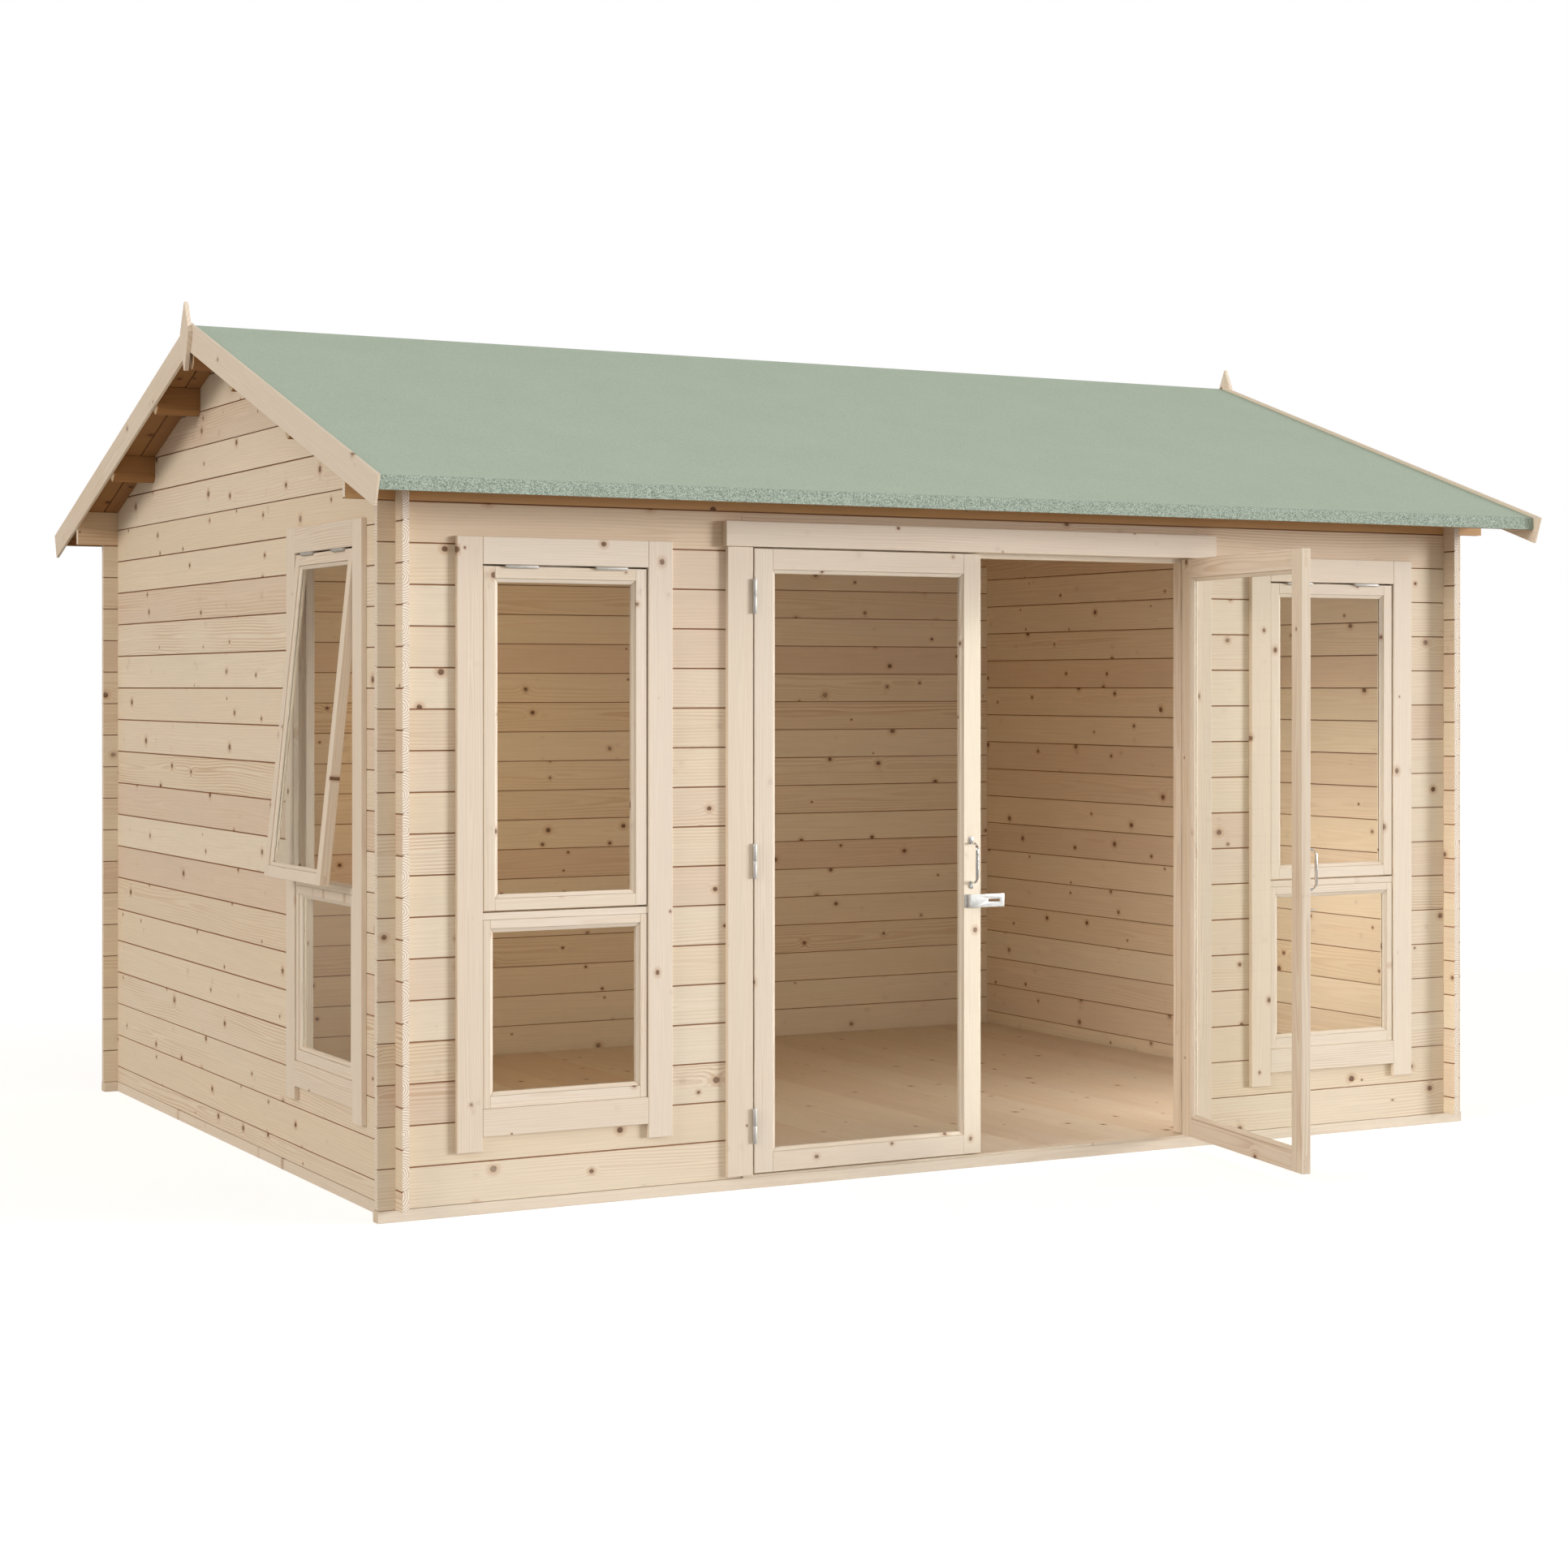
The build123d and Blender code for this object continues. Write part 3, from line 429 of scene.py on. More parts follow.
shaping = {
    "weldSteps": 1e5,  # spots on one step of this grid, so many to a metre, are the same
    "flatAngle": 0.5,  # degrees: flatter edges are taken out, sharper ones rounded or left sharp
    "roundAngle": 25,
    "smoothAngle": 35,
    "near": 1e-4,  # spots this near to a face lie on it
    "lip": 4e-4,  # and this near to the edge of a log's face, on its edge
    "endNear": 0.001,
    "square": 0.99,  # cosines that tell the faces of a timber apart
    "slant": (0.3, 0.97),
    "side": 0.1,
    "end": 0.9,
    "aslant": 0.85,
}


def splitParts(mesh):
    spots = np.empty(len(mesh.vertices) * 3)
    mesh.vertices.foreach_get("co", spots)
    spots = spots.reshape(-1, 3)
    keys = np.round(spots * shaping["weldSteps"]).astype(np.int64)
    first, where = np.unique(keys, axis=0, return_index=True, return_inverse=True)[1:]
    spots, where = spots[first], where.ravel()
    faces = [[int(where[corner]) for corner in polygon.vertices] for polygon in mesh.polygons]
    root = list(range(len(spots)))

    def top(spot):
        while root[spot] != spot:
            root[spot] = root[root[spot]]
            spot = root[spot]
        return spot

    for face in faces:
        for corner in face[1:]:
            root[top(corner)] = top(face[0])
    groups = {}
    for face in faces:
        groups.setdefault(top(face[0]), []).append(face)
    return [buildPart(spots, group) for group in groups.values()]


def buildPart(spots, faces):
    part = bmesh.new()
    made = {}
    for face in faces:
        for corner in face:
            if corner not in made:
                made[corner] = part.verts.new(spots[corner])
        if len(set(face)) == len(face):
            part.faces.new([made[corner] for corner in face])
    part.normal_update()
    bmesh.ops.dissolve_limit(part, angle_limit=math.radians(shaping["flatAngle"]),
                             verts=part.verts, edges=part.edges)
    bmesh.ops.recalc_face_normals(part, faces=part.faces)
    return part


def cadParts(node):
    return splitParts(frame["nodes"][node].data)


def stick(low, high):
    # a plain bar between two corners, before its edges are rounded
    spots = [(x, y, z) for x in (low[0], high[0]) for y in (low[1], high[1]) for z in (low[2], high[2])]
    faces = [(0, 1, 3, 2), (4, 6, 7, 5), (0, 4, 5, 1), (2, 3, 7, 6), (0, 2, 6, 4), (1, 5, 7, 3)]
    return buildPart([Vector(spot) for spot in spots], faces)


def partBox(part):
    spots = np.array([vert.co for vert in part.verts])
    return Vector(spots.min(0)), Vector(spots.max(0))


def moved(part, matrix):
    twin = part.copy()
    bmesh.ops.transform(twin, matrix=matrix, verts=twin.verts)
    bmesh.ops.recalc_face_normals(twin, faces=twin.faces)
    return twin


def bevel(part, edges, size, segments=2, clamp=True):
    bmesh.ops.bevel(part, geom=edges, offset=size, offset_type="OFFSET", segments=segments, profile=0.5,
                    affect="EDGES", clamp_overlap=clamp)


def roundEdges(part, size, segments=2, angle=shaping["roundAngle"]):
    sharp = [edge for edge in part.edges
             if edge.is_manifold and edge.is_convex and edge.calc_face_angle() > math.radians(angle)]
    bevel(part, sharp, size, segments)


def grainAxes(part, along=None):
    # timber is longest along its grain and thinnest across its largest face
    if along is None:
        longest = max(part.edges, key=lambda edge: edge.calc_length())
        along = (longest.verts[1].co - longest.verts[0].co).normalized()
    sides = [face for face in part.faces if abs(face.normal.dot(along)) < shaping["side"]]
    thick = max(sides, key=lambda face: face.calc_area()).normal
    thick = (thick - along * thick.dot(along)).normalized()
    middle = sum((vert.co for vert in part.verts), Vector()) / len(part.verts)
    if thick.dot(cabinMiddle - middle) < 0:
        thick = -thick  # into the cabin
    return along, thick.cross(along), thick


def roundLogEdges(part, size):
    # only the arrises that show: along the seams and round the sawn ends
    along, _, thick = grainAxes(part)
    reach = [vert.co.dot(along) for vert in part.verts]
    ends = min(reach), max(reach)

    def shows(face):
        if abs(face.normal.dot(along)) > shaping["square"]:
            place = face.calc_center_median().dot(along)
            return min(abs(place - ends[0]), abs(place - ends[1])) < shaping["endNear"]
        least, most = shaping["slant"]
        return least < abs(face.normal.z) < most

    chosen = []
    for edge in part.edges:
        if edge.is_manifold and edge.is_convex:
            flat = [abs(face.normal.dot(thick)) > shaping["square"] for face in edge.link_faces]
            other = edge.link_faces[0] if flat[1] else edge.link_faces[1]
            if flat[0] != flat[1] and shows(other):
                chosen.append(edge)
    bevel(part, chosen, size, clamp=False)


def openSeams(part, opening):
    # draws the long edges of a log's two faces back, so that each seam shows as a dark line
    low, high = partBox(part)
    thin = 0 if high.x - low.x < high.y - low.y else 1
    onFace = [vert for vert in part.verts
              if min(vert.co[thin] - low[thin], high[thin] - vert.co[thin]) < shaping["near"]]
    levels = [vert.co.z for vert in onFace]
    foot, top = min(levels), max(levels)
    for vert in onFace:
        if vert.co.z > top - shaping["lip"]:
            vert.co.z -= opening
        elif vert.co.z < foot + shaping["lip"]:
            vert.co.z += opening


def addToScene(name, data):
    holder = bpy.data.objects.new(name, data)
    bpy.context.scene.collection.objects.link(holder)
    return holder


def addPiece(name, mesh, finish, body, replaced=()):
    piece = addToScene(name, mesh)
    mesh.materials.append(finishes[finish])
    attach(piece, body)
    if replaced:
        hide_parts(*replaced)


# painted shade: logs near the eaves are painted browner for the shade under the roof; the share of painted shade
# below the height given, and above it
shadedLogs = {"height": 1.98, "front_wall_top_logs": (0.26, 0.85), "back_wall_logs": (0.0, 0.35)}


def addTimber(node, parts, finish, rounding, seam=0.0):
    # parts are pairs: the solid and its grain direction, or None for the longest way
    name = node + "_dressed"
    dice = random.Random(name)
    spots, faces, places, seeds, ends, joints, paintedEavesShades = [], [], [], [], [], [], []
    for part, along in parts:
        if seam:
            openSeams(part, seam)
            roundLogEdges(part, rounding)
        else:
            roundEdges(part, rounding)
        axes = Matrix(grainAxes(part, along))
        start = len(spots)
        local = np.array([axes @ vert.co for vert in part.verts])
        local -= (local.min(0) + local.max(0)) / 2
        for number, vert in enumerate(part.verts):
            vert.index = number
            spots.append(vert.co[:])
        underEaves = min(vert.co.z for vert in part.verts) > shadedLogs["height"]
        paintedEavesShade = shadedLogs.get(node, (0.0, 0.0))[underEaves]
        places.extend(local.ravel())
        seeds.extend([dice.random()] * len(part.verts))
        paintedEavesShades.extend([paintedEavesShade] * len(part.verts))
        for face in part.faces:
            faces.append([vert.index + start for vert in face.verts])
            toEnd, toFace = abs(face.normal.dot(axes[0])), abs(face.normal.dot(axes[2]))
            ends.append(float(toEnd > shaping["end"]))
            # faces on the slopes of a log's joint get the painted seam shade
            joints.append(float(bool(seam) and max(toEnd, toFace) < shaping["aslant"]))
        part.free()
    mesh = bpy.data.meshes.new(name)
    mesh.from_pydata(spots, [], faces)
    marks = {"grainPlace": places, "grainSeed": seeds, "paintedEavesShade": paintedEavesShades, "endFace": ends, "paintedSeamShade": joints}
    for label, values in marks.items():
        kind, field = ("FLOAT_VECTOR", "vector") if label == "grainPlace" else ("FLOAT", "value")
        domain = "FACE" if label in ("endFace", "paintedSeamShade") else "POINT"
        mesh.attributes.new(label, kind, domain).data.foreach_set(field, np.array(values, np.float32))
    addPiece(name, mesh, finish, bodyOf[node], [node])


# log walls, trims and the other plain timbers, straight from the frame with their edges eased

sideways, frontToBack, upright = Vector((1, 0, 0)), Vector((0, 1, 0)), Vector((0, 0, 1))
plainTimbers = {
    "logTimber": {
        "rounding": 0.0012, "seam": 0.0006,
        "nodes": ["front_wall_left_logs", "front_wall_right_logs", "front_wall_top_logs", "back_wall_logs",
                  "left_wall_logs", "right_wall_logs", "left_gable_logs", "right_gable_logs"],
    },
    "planedTimber": {
        "rounding": 0.0018,
        "nodes": ["foundation_bearers", "left_barge_boards", "right_barge_boards", "finials", "door_frame",
                  "door_trim", "left_front_window_trim", "right_front_window_trim", "side_window_trim"],
    },
    "floorTimber": {"rounding": 0.002, "nodes": ["floor_joists", "door_threshold"]},
    "roofTimberPaintedShade": {"rounding": 0.003, "nodes": ["roof_purlins", "eaves_battens"]},
}
grainWays = {"finials": upright, "left_gable_logs": frontToBack, "right_gable_logs": frontToBack}

for finish, family in plainTimbers.items():
    for node in family["nodes"]:
        parts = [(part, grainWays.get(node)) for part in cadParts(node)]
        addTimber(node, parts, finish, family["rounding"], family.get("seam", 0.0))
print("plain timbers dressed")


# glazed frames: stiles, rails, tenon ends and mitred glazing beads around each pane

glazing = {
    "bite": 0.008,  # hidden edge of a pane
    "bead": 0.011,  # width of a bead
    "beadBack": 0.003,  # bead behind the face of the frame
    "beadSlope": 0.006,  # fall of the bead towards the glass
    "beadGap": 0.0004,
    "tenon": 0.011,  # thickness of a tenon end
    "tenonDepth": 0.004,
    "tenonMargin": 0.004,  # rail above and below the tenon
    "tenonProud": 0.0004,
    "lightGap": 0.002,  # dark line on either side of a fixed light
    "rounding": 0.0016,
    "ajar": 6,  # degrees that the side sash stands open
}


def beadStrip(opening, glassFace, frameFace, side):
    # one mitred bead; the corners of the opening run round it, side counts them
    inwards = 1 if glassFace > frameFace else -1
    face = frameFace + inwards * glazing["beadBack"]
    width = glazing["bead"] - glazing["beadGap"]
    section = ((width, face), (0, face + inwards * glazing["beadSlope"]), (0, glassFace), (width, glassFace))
    low, high = opening
    spots = []
    for turn in (side, (side + 1) % 4):
        for out, depth in section:
            x = low.x - out if turn in (0, 3) else high.x + out
            z = low.z - out if turn in (0, 1) else high.z + out
            spots.append(Vector((x, depth, z)))
    faces = [(0, 1, 5, 4), (1, 2, 6, 5), (2, 3, 7, 6), (3, 0, 4, 7), (3, 2, 1, 0), (4, 5, 6, 7)]
    return buildPart(spots, faces)


def tenonEnds(outer, inner):
    # the rails' tenons show on the outer edges of the stiles
    low, high = outer
    middle = (low.y + high.y) / 2
    half, margin, proud = glazing["tenon"] / 2, glazing["tenonMargin"], glazing["tenonProud"]
    parts = []
    for foot, top in ((low.z, inner[0].z), (inner[1].z, high.z)):
        for edge, into in ((low.x - proud, glazing["tenonDepth"]), (high.x + proud, -glazing["tenonDepth"])):
            ends = sorted((edge, edge + into))
            tenon = stick((ends[0], middle - half, foot + margin), (ends[1], middle + half, top - margin))
            parts.append((tenon, sideways))
    return parts


def glazedFrame(outer, pane, tenons=True):
    # outer is the box of the stiles and rails, pane the box of the glass
    bite, bead = (Vector((glazing[size], 0, glazing[size])) for size in ("bite", "bead"))
    low, high = outer
    opening = pane[0] + bite, pane[1] - bite
    inner = opening[0] - bead, opening[1] + bead
    parts = [
        (stick(low, (inner[0].x, high.y, high.z)), upright),
        (stick((inner[1].x, low.y, low.z), high), upright),
        (stick((inner[0].x, low.y, low.z), (inner[1].x, high.y, inner[0].z)), sideways),
        (stick((inner[0].x, low.y, inner[1].z), (inner[1].x, high.y, high.z)), sideways),
    ]
    for glassFace, frameFace in ((pane[0].y, low.y), (pane[1].y, high.y)):
        parts += [(beadStrip(opening, glassFace, frameFace, side), None) for side in range(4)]
    return parts + tenonEnds(outer, inner) if tenons else parts


def placed(parts, matrix):
    turn = matrix.to_3x3().normalized()
    return [(moved(part, matrix), None if along is None else turn @ along) for part, along in parts]


# doors: the right leaf is the left one mirrored, then swung open
rightSwing = next(joint for joint in frame["joints"] if joint["name"] == "right_door_swing")
hingeLine = Matrix.Translation(Vector(rightSwing["pos_m"]))
opened = math.radians(-rightSwing["range_deg"][0])
swingOpen = hingeLine @ Matrix.Rotation(opened, 4, "Z") @ hingeLine.inverted()
doorMiddle = sum((corner.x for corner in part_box("door_frame")), 0.0) / 2
mirrorLeaf = Matrix.Translation((2 * doorMiddle, 0, 0)) @ Matrix.Diagonal((-1, 1, 1, 1))
toRightLeaf = swingOpen @ mirrorLeaf

leafParts = glazedFrame(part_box("left_door_leaf"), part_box("left_door_glass"))
rightParts = placed(leafParts, toRightLeaf)
addTimber("left_door_leaf", leafParts, "planedTimber", glazing["rounding"])
addTimber("right_door_leaf", rightParts, "planedTimber", glazing["rounding"])

# windows: all three are alike; the side one is turned, raised and stands ajar
panes = sorted((partBox(part) for part in cadParts("left_front_window_glass")), key=lambda box: box[0].z)


def lapsPane(part, pane):
    low, high = partBox(part)
    return all(low[axis] < pane[1][axis] and pane[0][axis] < high[axis] for axis in range(3))


frameParts = cadParts("left_front_window_frame")
lightBoxes = [partBox(part) for part in frameParts if lapsPane(part, panes[0])]
lightLow = Vector(map(min, zip(*[box[0] for box in lightBoxes])))
lightHigh = Vector(map(max, zip(*[box[1] for box in lightBoxes])))
lightGap = Vector((glazing["lightGap"], 0, 0))
casing = [(part, None) for part in frameParts if not lapsPane(part, panes[0])]
casing += glazedFrame((lightLow + lightGap, lightHigh - lightGap), panes[0], tenons=False)
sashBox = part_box("left_front_window_sash")
sash = glazedFrame(sashBox, panes[1])


def sillMiddle(name):
    low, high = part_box(name + "_frame")
    return Vector(((low.x + high.x) / 2, (low.y + high.y) / 2, low.z))


frontSill, otherSill, sideSill = map(sillMiddle, ("left_front_window", "right_front_window", "side_window"))
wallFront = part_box("left_front_window_trim")[1].y
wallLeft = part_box("side_window_trim")[1].x
toRightWindow = Matrix.Translation((otherSill.x - frontSill.x, 0, 0))
fromFrontWindow = Matrix.Translation((-frontSill.x, -wallFront, 0))
ontoSideWall = Matrix.Translation((wallLeft, sideSill.y, sideSill.z - frontSill.z))
toSideWindow = ontoSideWall @ Matrix.Rotation(-math.pi / 2, 4, "Z") @ fromFrontWindow
hangLine = Matrix.Translation((0, sashBox[0].y, sashBox[1].z))
hung = hangLine @ Matrix.Rotation(-math.radians(glazing["ajar"]), 4, "X") @ hangLine.inverted()
windows = {
    "right_front_window": (placed(casing, toRightWindow), placed(sash, toRightWindow)),
    "side_window": (placed(casing, toSideWindow), placed(sash, toSideWindow @ hung)),
    "left_front_window": (casing, sash),
}
for name, (fixedParts, swingParts) in windows.items():
    addTimber(name + "_frame", fixedParts, "planedTimber", glazing["rounding"])
    addTimber(name + "_sash", swingParts, "planedTimber", glazing["rounding"])
print("doors and windows framed")


# boards of floor and roof, laid side by side by geometry nodes

boardRows = {  # face and back are the gaps between boards, on the side that shows and on the other
    "floor": {"count": 39, "face": 0.0008, "back": 0.0002, "rounding": 0.0007},
    "roof": {"count": 42, "face": 0.0045, "back": 0.0006, "rounding": 0.0012, "thickness": 0.016, "tries": 4},
}


def setOut(tree, result, points, shape, material, rotation=(0, 0, 0)):
    # one shape on each point, made real and coated
    spread = addNode(tree, "GeometryNodeInstanceOnPoints", {
        "Points": points, "Instance": shape, "Rotation": rotation})
    real = addNode(tree, "GeometryNodeRealizeInstances", {0: spread.outputs[0]})
    coat = addNode(tree, "GeometryNodeSetMaterial", {"Geometry": real.outputs[0], "Material": material})
    join(tree, coat.outputs[0], result["Geometry"])


def makeBoardRow():
    numbers = ("Pitch", "Length", "Thickness", "Face Gap", "Back Gap")
    tree, sockets, given, result = newTree("boardRow", {
        "Count": "Int", **dict.fromkeys(numbers, "Float"), "Material": "Material"})
    # one board: a slightly tapered section along a line, so that the joints open as a V on the face
    section = addNode(tree, "GeometryNodeCurvePrimitiveQuadrilateral", {
        "Bottom Width": calc(tree, "SUBTRACT", given["Pitch"], given["Face Gap"]),
        "Top Width": calc(tree, "SUBTRACT", given["Pitch"], given["Back Gap"]),
        "Offset": 0, "Height": given["Thickness"]}, mode="TRAPEZOID")
    line = addNode(tree, "GeometryNodeCurvePrimitiveLine", {"End": vector(tree, 0, 0, given["Length"])})
    board = addNode(tree, "GeometryNodeCurveToMesh", {
        "Curve": line.outputs[0], "Profile Curve": section.outputs[0], "Fill Caps": True})
    row = addNode(tree, "GeometryNodeMeshLine", {
        "Count": given["Count"], "Offset": vector(tree, given["Pitch"], 0, 0)}, mode="OFFSET")
    setOut(tree, result, row.outputs[0], board.outputs[0], given["Material"])
    return tree, sockets


def runTree(made, values, points=()):
    # evaluates a geometry tree once and keeps the plain mesh
    tree, sockets = made
    seed = bpy.data.meshes.new("seed")
    seed.from_pydata(points, [], [])
    holder = addToScene("holder", seed)
    modifier = holder.modifiers.new("rows", "NODES")
    modifier.node_group = tree
    for label, value in values.items():
        modifier[sockets[label]] = value
    bpy.context.view_layer.update()
    mesh = bpy.data.meshes.new_from_object(holder.evaluated_get(bpy.context.evaluated_depsgraph_get()))
    bpy.data.objects.remove(holder)
    return mesh


boardRow = makeBoardRow()


def boards(row, pitch, length, thickness, finish):
    return splitParts(runTree(boardRow, {
        "Count": row["count"], "Pitch": pitch, "Length": length, "Thickness": thickness,
        "Face Gap": row["face"], "Back Gap": row["back"], "Material": finishes[finish]}))


def laid(parts, matrix, along):
    twins = [(moved(part, matrix), along) for part in parts]
    for part in parts:
        part.free()
    return twins


# floor: boards run front to back, their open side up
floorLow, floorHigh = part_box("floor_boards")
floorRow = boardRows["floor"]
floorPitch = (floorHigh.x - floorLow.x) / floorRow["count"]
layFloor = Matrix(((1, 0, 0, floorLow.x + floorPitch / 2), (0, 0, 1, floorLow.y),
                   (0, -1, 0, (floorLow.z + floorHigh.z) / 2), (0, 0, 0, 1)))
floorParts = boards(floorRow, floorPitch, floorHigh.y - floorLow.y, floorHigh.z - floorLow.z, "floorTimber")
addTimber("floor_boards", laid(floorParts, layFloor, frontToBack), "floorTimber", floorRow["rounding"])

# roof: boards run from the ridge to the eaves; each row is made flat and then leant to the slope
roofRow = boardRows["roof"]
for node, way in (("front_roof_boards", -1), ("back_roof_boards", 1)):
    low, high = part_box(node)
    reach = high.y - low.y
    pitch = (high.x - low.x) / roofRow["count"]
    fall = (high.z - low.z) / reach  # a first guess, mended by the thickness below
    for attempt in range(roofRow["tries"]):
        rise = roofRow["thickness"] * math.sqrt(1 + fall * fall)
        fall = (high.z - rise - low.z) / reach
    layFlat = Matrix(((-way, 0, 0, -way * (low.x + pitch / 2)), (0, 0, way, 0), (0, 1, 0, 0), (0, 0, 0, 1)))
    lean = Matrix(((1, 0, 0, 0), (0, 1, 0, 0), (0, -way * fall, 1, high.z - rise / 2), (0, 0, 0, 1)))
    slope = Vector((0, 1, -way * fall)).normalized()
    roofParts = boards(roofRow, pitch, reach, rise, "roofTimberPaintedShade")
    for part in roofParts:
        roundEdges(part, roofRow["rounding"])
    addTimber(node, laid(roofParts, lean @ layFlat, slope), "roofTimberPaintedShade", 0.0)
print("floor and roof boarded")


# felt: a turned-down edge with a soft bend

feltSizes = {"bend": 0.0065, "bendSteps": 5, "rounding": 0.0006, "roundingSteps": 1}


def smoothMesh(name, parts):
    # joins parts into one mesh, smooth except over sharp edges
    whole = bmesh.new()
    mesh = bpy.data.meshes.new(name)
    for part in parts:
        part.to_mesh(mesh)
        whole.from_mesh(mesh)
        part.free()
    whole.to_mesh(mesh)
    whole.free()
    mesh.polygons.foreach_set("use_smooth", [True] * len(mesh.polygons))
    mesh.set_sharp_from_angle(angle=math.radians(shaping["smoothAngle"]))
    return mesh


def addSmooth(node, parts, finish):
    name = node + "_dressed"
    addPiece(name, smoothMesh(name, parts), finish, bodyOf[node], [node])


for node in ("front_roof_felt", "back_roof_felt"):
    parts = cadParts(node)
    for part in parts:
        edgeReach = max(abs(vert.co.y) for vert in part.verts) - shaping["near"]
        outer = [vert for vert in part.verts if abs(vert.co.y) > edgeReach]
        crest = max(vert.co.z for vert in outer) - shaping["near"]
        bend = [edge for edge in part.edges
                if all(abs(vert.co.y) > edgeReach and vert.co.z > crest for vert in edge.verts)]
        bevel(part, bend, feltSizes["bend"], feltSizes["bendSteps"], clamp=False)
        roundEdges(part, feltSizes["rounding"], feltSizes["roundingSteps"])
    addSmooth(node, parts, "greenFelt")
print("roof felted")


# metalwork: hinges, hasp and staple from the frame with their edges eased

metalEdge = {"size": 0.0004, "angle": 40}
metalNodes = {
    "left_door_hinge_plates": "zincSteel", "right_door_hinge_plates": "zincSteel",
    "door_frame_hinge_plates": "zincSteel", "window_hinges": "dullSteel",
    "left_door_hasp": "zincSteel", "right_door_staple": "zincSteel",
}
for node, finish in metalNodes.items():
    parts = cadParts(node)
    for part in parts:
        roundEdges(part, metalEdge["size"], angle=metalEdge["angle"])
    addSmooth(node, parts, finish)

# bow handles: a tube round a smooth bow, with two screwed feet
bowHandle = {
    "bar": 0.0041, "swell": 0.0021, "flat": 0.0041,  # half widths: at the ends, more at the middle, through
    "bend": 0.02, "steps": 7, "sides": 16,
    "gripShares": (0.75, 0.5, 0.25),  # rows of the grip between a bend and the middle
    "foot": 0.024, "footThickness": 0.0025, "footCorner": 0.004, "cornerSteps": 4, "footEdge": 0.0005,
}


def bowTube(low, high):
    middle = (low.x + high.x) / 2
    level = (low.z + high.z) / 2
    bend, bar = bowHandle["bend"], bowHandle["bar"]
    far = high.y - low.y - bowHandle["flat"]
    reach = (high.z - low.z) / 2 - bowHandle["foot"] + bar
    line = [(0.0, -reach)]
    for step in range(bowHandle["steps"] + 1):
        turn = math.pi / 2 * step / bowHandle["steps"]
        line.append((far - bend + bend * math.sin(turn), bend - reach - bend * math.cos(turn)))
    line += [(far, (bend - reach) * share) for share in bowHandle["gripShares"]]
    line += [(far, 0.0)] + [(out, -along) for out, along in reversed(line)]
    rows = []
    part = bmesh.new()
    for number, (out, along) in enumerate(line):
        before, after = line[max(number - 1, 0)], line[min(number + 1, len(line) - 1)]
        way = Vector((after[0] - before[0], after[1] - before[1])).normalized()
        row = []
        wide = bar + bowHandle["swell"] * (1 - (along / reach) ** 2)
        for side in range(bowHandle["sides"]):
            turn = 2 * math.pi * side / bowHandle["sides"]
            across, lift = wide * math.sin(turn), bowHandle["flat"] * math.cos(turn)
            spot = (middle + across, high.y - out - lift * way.y, level + along + lift * way.x)
            row.append(part.verts.new(spot))
        rows.append(row)
    for first, second in zip(rows, rows[1:]):
        for side in range(len(first)):
            part.faces.new((first[side - 1], first[side], second[side], second[side - 1]))
    part.faces.new(rows[0])
    part.faces.new(rows[-1])
    bmesh.ops.recalc_face_normals(part, faces=part.faces)
    return part


def handleFoot(low, high, foot, top):
    thickness = bowHandle["footThickness"]
    plate = stick((low.x, high.y - thickness, foot), (high.x, high.y, top))
    corners = [edge for edge in plate.edges
               if abs((edge.verts[0].co - edge.verts[1].co).y) > thickness / 2]
    bevel(plate, corners, bowHandle["footCorner"], bowHandle["cornerSteps"])
    roundEdges(plate, bowHandle["footEdge"])
    return plate


# cross-slotted screws: the sizes are the inputs of their geometry tree
screwSizes = {"Radius": 0.0034, "Crown": 0.0026, "Height": 0.0011,
              "Slot Length": 0.0042, "Slot Width": 0.0009, "Slot Depth": 0.0007, "Seed": 11}
screwFit = {"sides": 18, "spin": 3.1, "plate": 0.002, "inset": 0.0075}


def makeScrewHeads():
    tree, sockets, given, result = newTree("screwHeads", {
        "Points": "Geometry", **dict.fromkeys(screwSizes, "Float"), "Seed": "Int", "Material": "Material"})
    head = addNode(tree, "GeometryNodeMeshCone", {
        "Vertices": screwFit["sides"], "Radius Top": given["Crown"], "Radius Bottom": given["Radius"],
        "Depth": given["Height"]}, fill_type="NGON")
    cross = addNode(tree, "GeometryNodeMeshBoolean", {0: head.outputs["Mesh"]}, operation="DIFFERENCE")
    depth = times(tree, given["Slot Depth"], 2.0)  # half of each cutter stands above the head
    for sizeX, sizeY in (("Slot Length", "Slot Width"), ("Slot Width", "Slot Length")):
        size = vector(tree, given[sizeX], given[sizeY], depth)
        slot = addNode(tree, "GeometryNodeMeshCube", {"Size": size})
        raised = addNode(tree, "GeometryNodeTransform", {
            "Geometry": slot.outputs["Mesh"], "Translation": vector(tree, 0, 0, given["Height"])})
        join(tree, raised.outputs[0], cross.inputs[1])
    spin = addNode(tree, "FunctionNodeRandomValue", {3: screwFit["spin"], "Seed": given["Seed"]},
                   data_type="FLOAT")
    facing = addNode(tree, "FunctionNodeEulerToRotation", {0: vector(tree, math.pi / 2, spin.outputs[1], 0)})
    setOut(tree, result, given["Points"], cross.outputs[0], given["Material"], facing.outputs[0])
    return tree, sockets


screwHeads = makeScrewHeads()


def screws(points):
    part = bmesh.new()
    part.from_mesh(runTree(screwHeads, {**screwSizes, "Material": finishes["zincSteel"]}, points))
    return part


def addScrews(name, part, beside):
    # screws ride with the node that they are beside
    addPiece(name, smoothMesh(name, [part]), "zincSteel", bodyOf[beside])


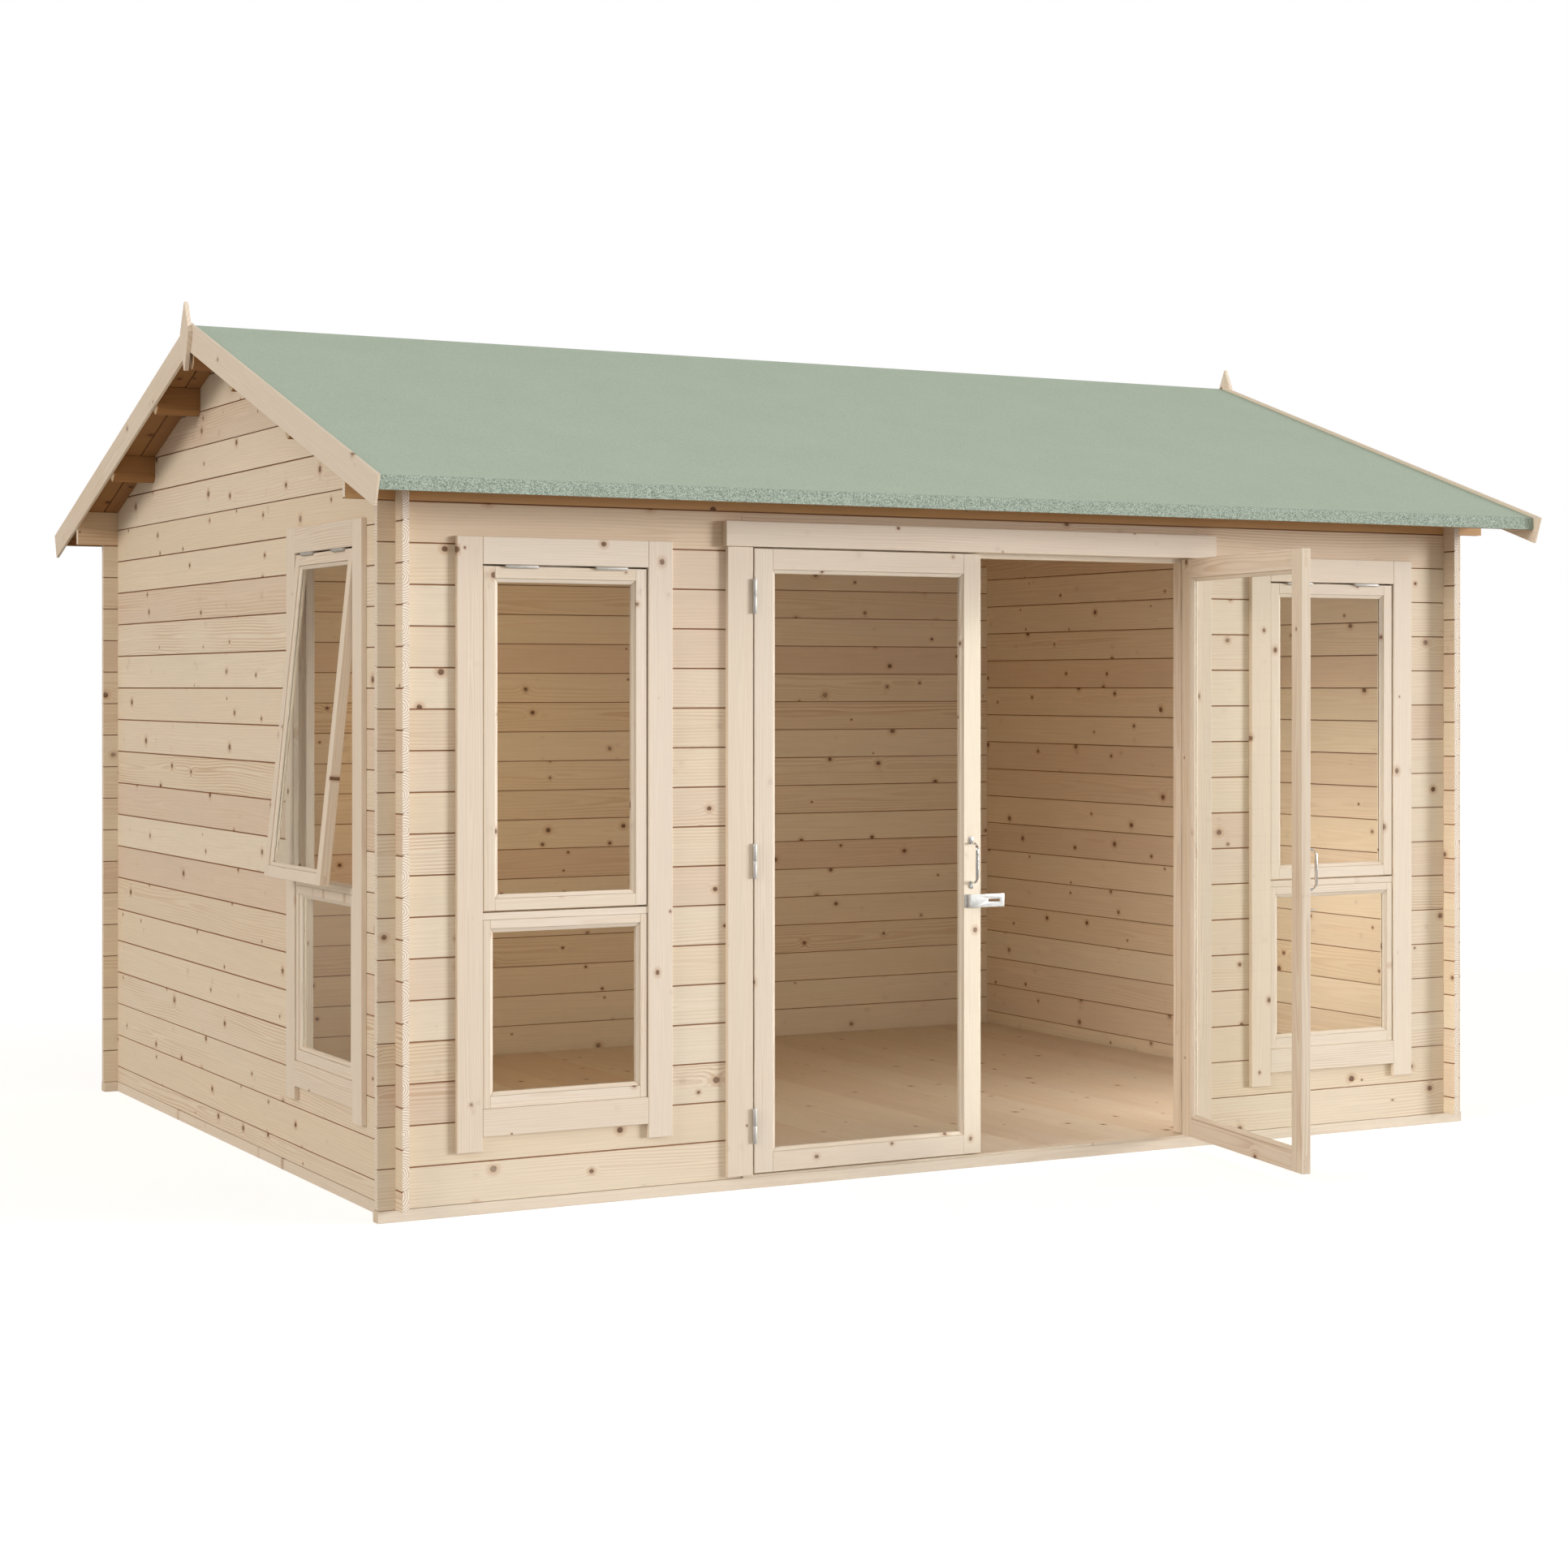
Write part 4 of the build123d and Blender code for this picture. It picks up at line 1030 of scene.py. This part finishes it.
handleLow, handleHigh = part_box("left_door_handle")
footSize, inset = bowHandle["foot"], screwFit["inset"]
feet = ((handleLow.z, handleLow.z + footSize), (handleHigh.z - footSize, handleHigh.z))
handleParts = [bowTube(handleLow, handleHigh)] + [handleFoot(handleLow, handleHigh, *foot) for foot in feet]
handleScrews = screws([((handleLow.x + handleHigh.x) / 2, handleHigh.y - bowHandle["footThickness"], z)
                       for z in (handleLow.z + inset, handleHigh.z - inset)])
addSmooth("right_door_handle", [moved(part, toRightLeaf) for part in handleParts], "chrome")
addScrews("right_door_handle_screws", moved(handleScrews, toRightLeaf), "right_door_staple")
addSmooth("left_door_handle", handleParts, "chrome")
addScrews("left_door_handle_screws", handleScrews, "left_door_hasp")

# four more screws hold the staple; they are set with the leaf shut and then swung with it
plate = [swingOpen.inverted() @ vert.co for part in cadParts("right_door_staple") for vert in part.verts]
plateLow, plateHigh = Vector(np.min(plate, 0)), Vector(np.max(plate, 0))
stapleScrews = screws([(x, plateHigh.y - screwFit["plate"], z)
                       for x in (plateLow.x + inset, plateHigh.x - inset)
                       for z in (plateLow.z + inset, plateHigh.z - inset)])
addScrews("right_door_staple_screws", moved(stapleScrews, swingOpen), "right_door_staple")
stapleScrews.free()
print("metalwork fitted")

for node, slot in slotOf.items():
    if slot == "clear_glass":
        panesOf = frame["nodes"][node].data.materials
        panesOf.clear()
        panesOf.append(finishes["clearGlass"])
print("panes glazed")


# camera, light and floor

studio = {
    "cameraPlace": (-4.6189, -8.7846, 1.4736), "cameraTurn": -28.29,
    "lens": 64.69, "sensor": 36.0, "shift": -0.0619,
    "sunFrom": (0.84, -0.54, 0.06), "sunSize": 20.0, "sunPower": 3.35, "sunTone": (0.985, 1.0, 1.05),
    "fillFrom": (-0.9, -0.27, 0.34), "fillSize": 26.0, "fillPower": 1.25, "fillTone": (1.0, 0.92, 0.87),
    "skyPower": 0.57, "skyTone": (1.0, 0.965, 0.915), "white": (1.0, 1.0, 1.0),
    "glossDark": 0.1, "glossBright": 0.75, "softbox": (-0.2, 0.9),  # reflections see it at the right front
    "floorWidth": 80.0, "floorTone": 0.6, "floorRoughness": 0.9, "floorGlow": 0.62,
    "roomSize": 0.3,  # the front of the room is bright, the back dim and warm
    "roomFront": {"place": (1.12, -1.05, 0.8), "power": 15.0, "tone": (1.0, 0.98, 0.95)},
    "roomBack": {"place": (-0.7, 0.3, 1.45), "power": 10.5, "tone": (1.0, 0.76, 0.41)},
}
scene = bpy.context.scene


def setCamera():
    camera = bpy.data.cameras.new("photoCamera")
    camera.lens, camera.sensor_width, camera.shift_y = studio["lens"], studio["sensor"], studio["shift"]
    scene.camera = addToScene("photoCamera", camera)
    scene.camera.location = studio["cameraPlace"]
    scene.camera.rotation_euler = (math.pi / 2, 0, math.radians(studio["cameraTurn"]))
    scene.view_settings.view_transform = "Standard"


def addLight(name, kind, power, tone):
    lamp = bpy.data.lights.new(name, kind)
    lamp.energy, lamp.color = power, tone
    return addToScene(name, lamp)


def setLights():
    for name, kind in (("sideSun", "sun"), ("fillSun", "fill")):
        lamp = addLight(name, "SUN", studio[kind + "Power"], studio[kind + "Tone"])
        lamp.data.angle = math.radians(studio[kind + "Size"])
        lamp.rotation_euler = Vector(studio[kind + "From"]).to_track_quat("Z", "Y").to_euler()
    for name in ("roomFront", "roomBack"):
        room = addLight(name, "POINT", studio[name]["power"], studio[name]["tone"])
        room.data.shadow_soft_size = studio["roomSize"]
        room.location = studio[name]["place"]
        room.visible_camera = room.visible_glossy = room.visible_transmission = False


def rayStates(tree):
    # rays that reach the eye straight or through panes only, and rays that were mirrored
    path = addNode(tree, "ShaderNodeLightPath").outputs
    straight = calc(tree, "LESS_THAN", calc(tree, "ADD", path["Diffuse Depth"], path["Glossy Depth"]), 0.5)
    seen = calc(tree, "MAXIMUM", path["Is Camera Ray"], path["Is Transmission Ray"])
    return times(tree, seen, straight), calc(tree, "GREATER_THAN", path["Glossy Depth"], 0.5)


def setBackdrop():
    # it stays white to the eye, and through the panes, while less of it lights the cabin
    scene.world = bpy.data.worlds.new("studioWhite")
    scene.world.use_nodes = True
    tree = scene.world.node_tree
    sky = tree.nodes["Background"]
    seen, mirrored = rayStates(tree)
    toX, toY = apart(tree, addNode(tree, "ShaderNodeTexCoord").outputs["Generated"])[:2]
    softbox = fade(tree, calc(tree, "SUBTRACT", toX, toY), *studio["softbox"])
    gloss = between(tree, softbox, studio["glossDark"], studio["glossBright"])
    power = between(tree, mirrored, studio["skyPower"], gloss)
    join(tree, between(tree, seen, power, 1.0), sky.inputs["Strength"])
    join(tree, mixTone(tree, seen, studio["skyTone"], studio["white"]), sky.inputs["Color"])


def setFloor():
    half = studio["floorWidth"] / 2
    corners = [(-half, -half, 0), (half, -half, 0), (half, half, 0), (-half, half, 0)]
    mesh = bpy.data.meshes.new("studioFloor")
    mesh.from_pydata(corners, [], [(0, 1, 2, 3)])
    floor = addToScene("studioFloor", mesh)
    material, tree, shader = newMaterial("paleFloor")
    shader.inputs["Base Color"].default_value = (studio["floorTone"],) * 3 + (1,)
    shader.inputs["Roughness"].default_value = studio["floorRoughness"]
    shader.inputs["Emission Color"].default_value = (*studio["white"], 1)
    glow = times(tree, rayStates(tree)[0], studio["floorGlow"])
    join(tree, glow, shader.inputs["Emission Strength"])
    mesh.materials.append(material)


setCamera()
setLights()
setBackdrop()
setFloor()
print("studio set")
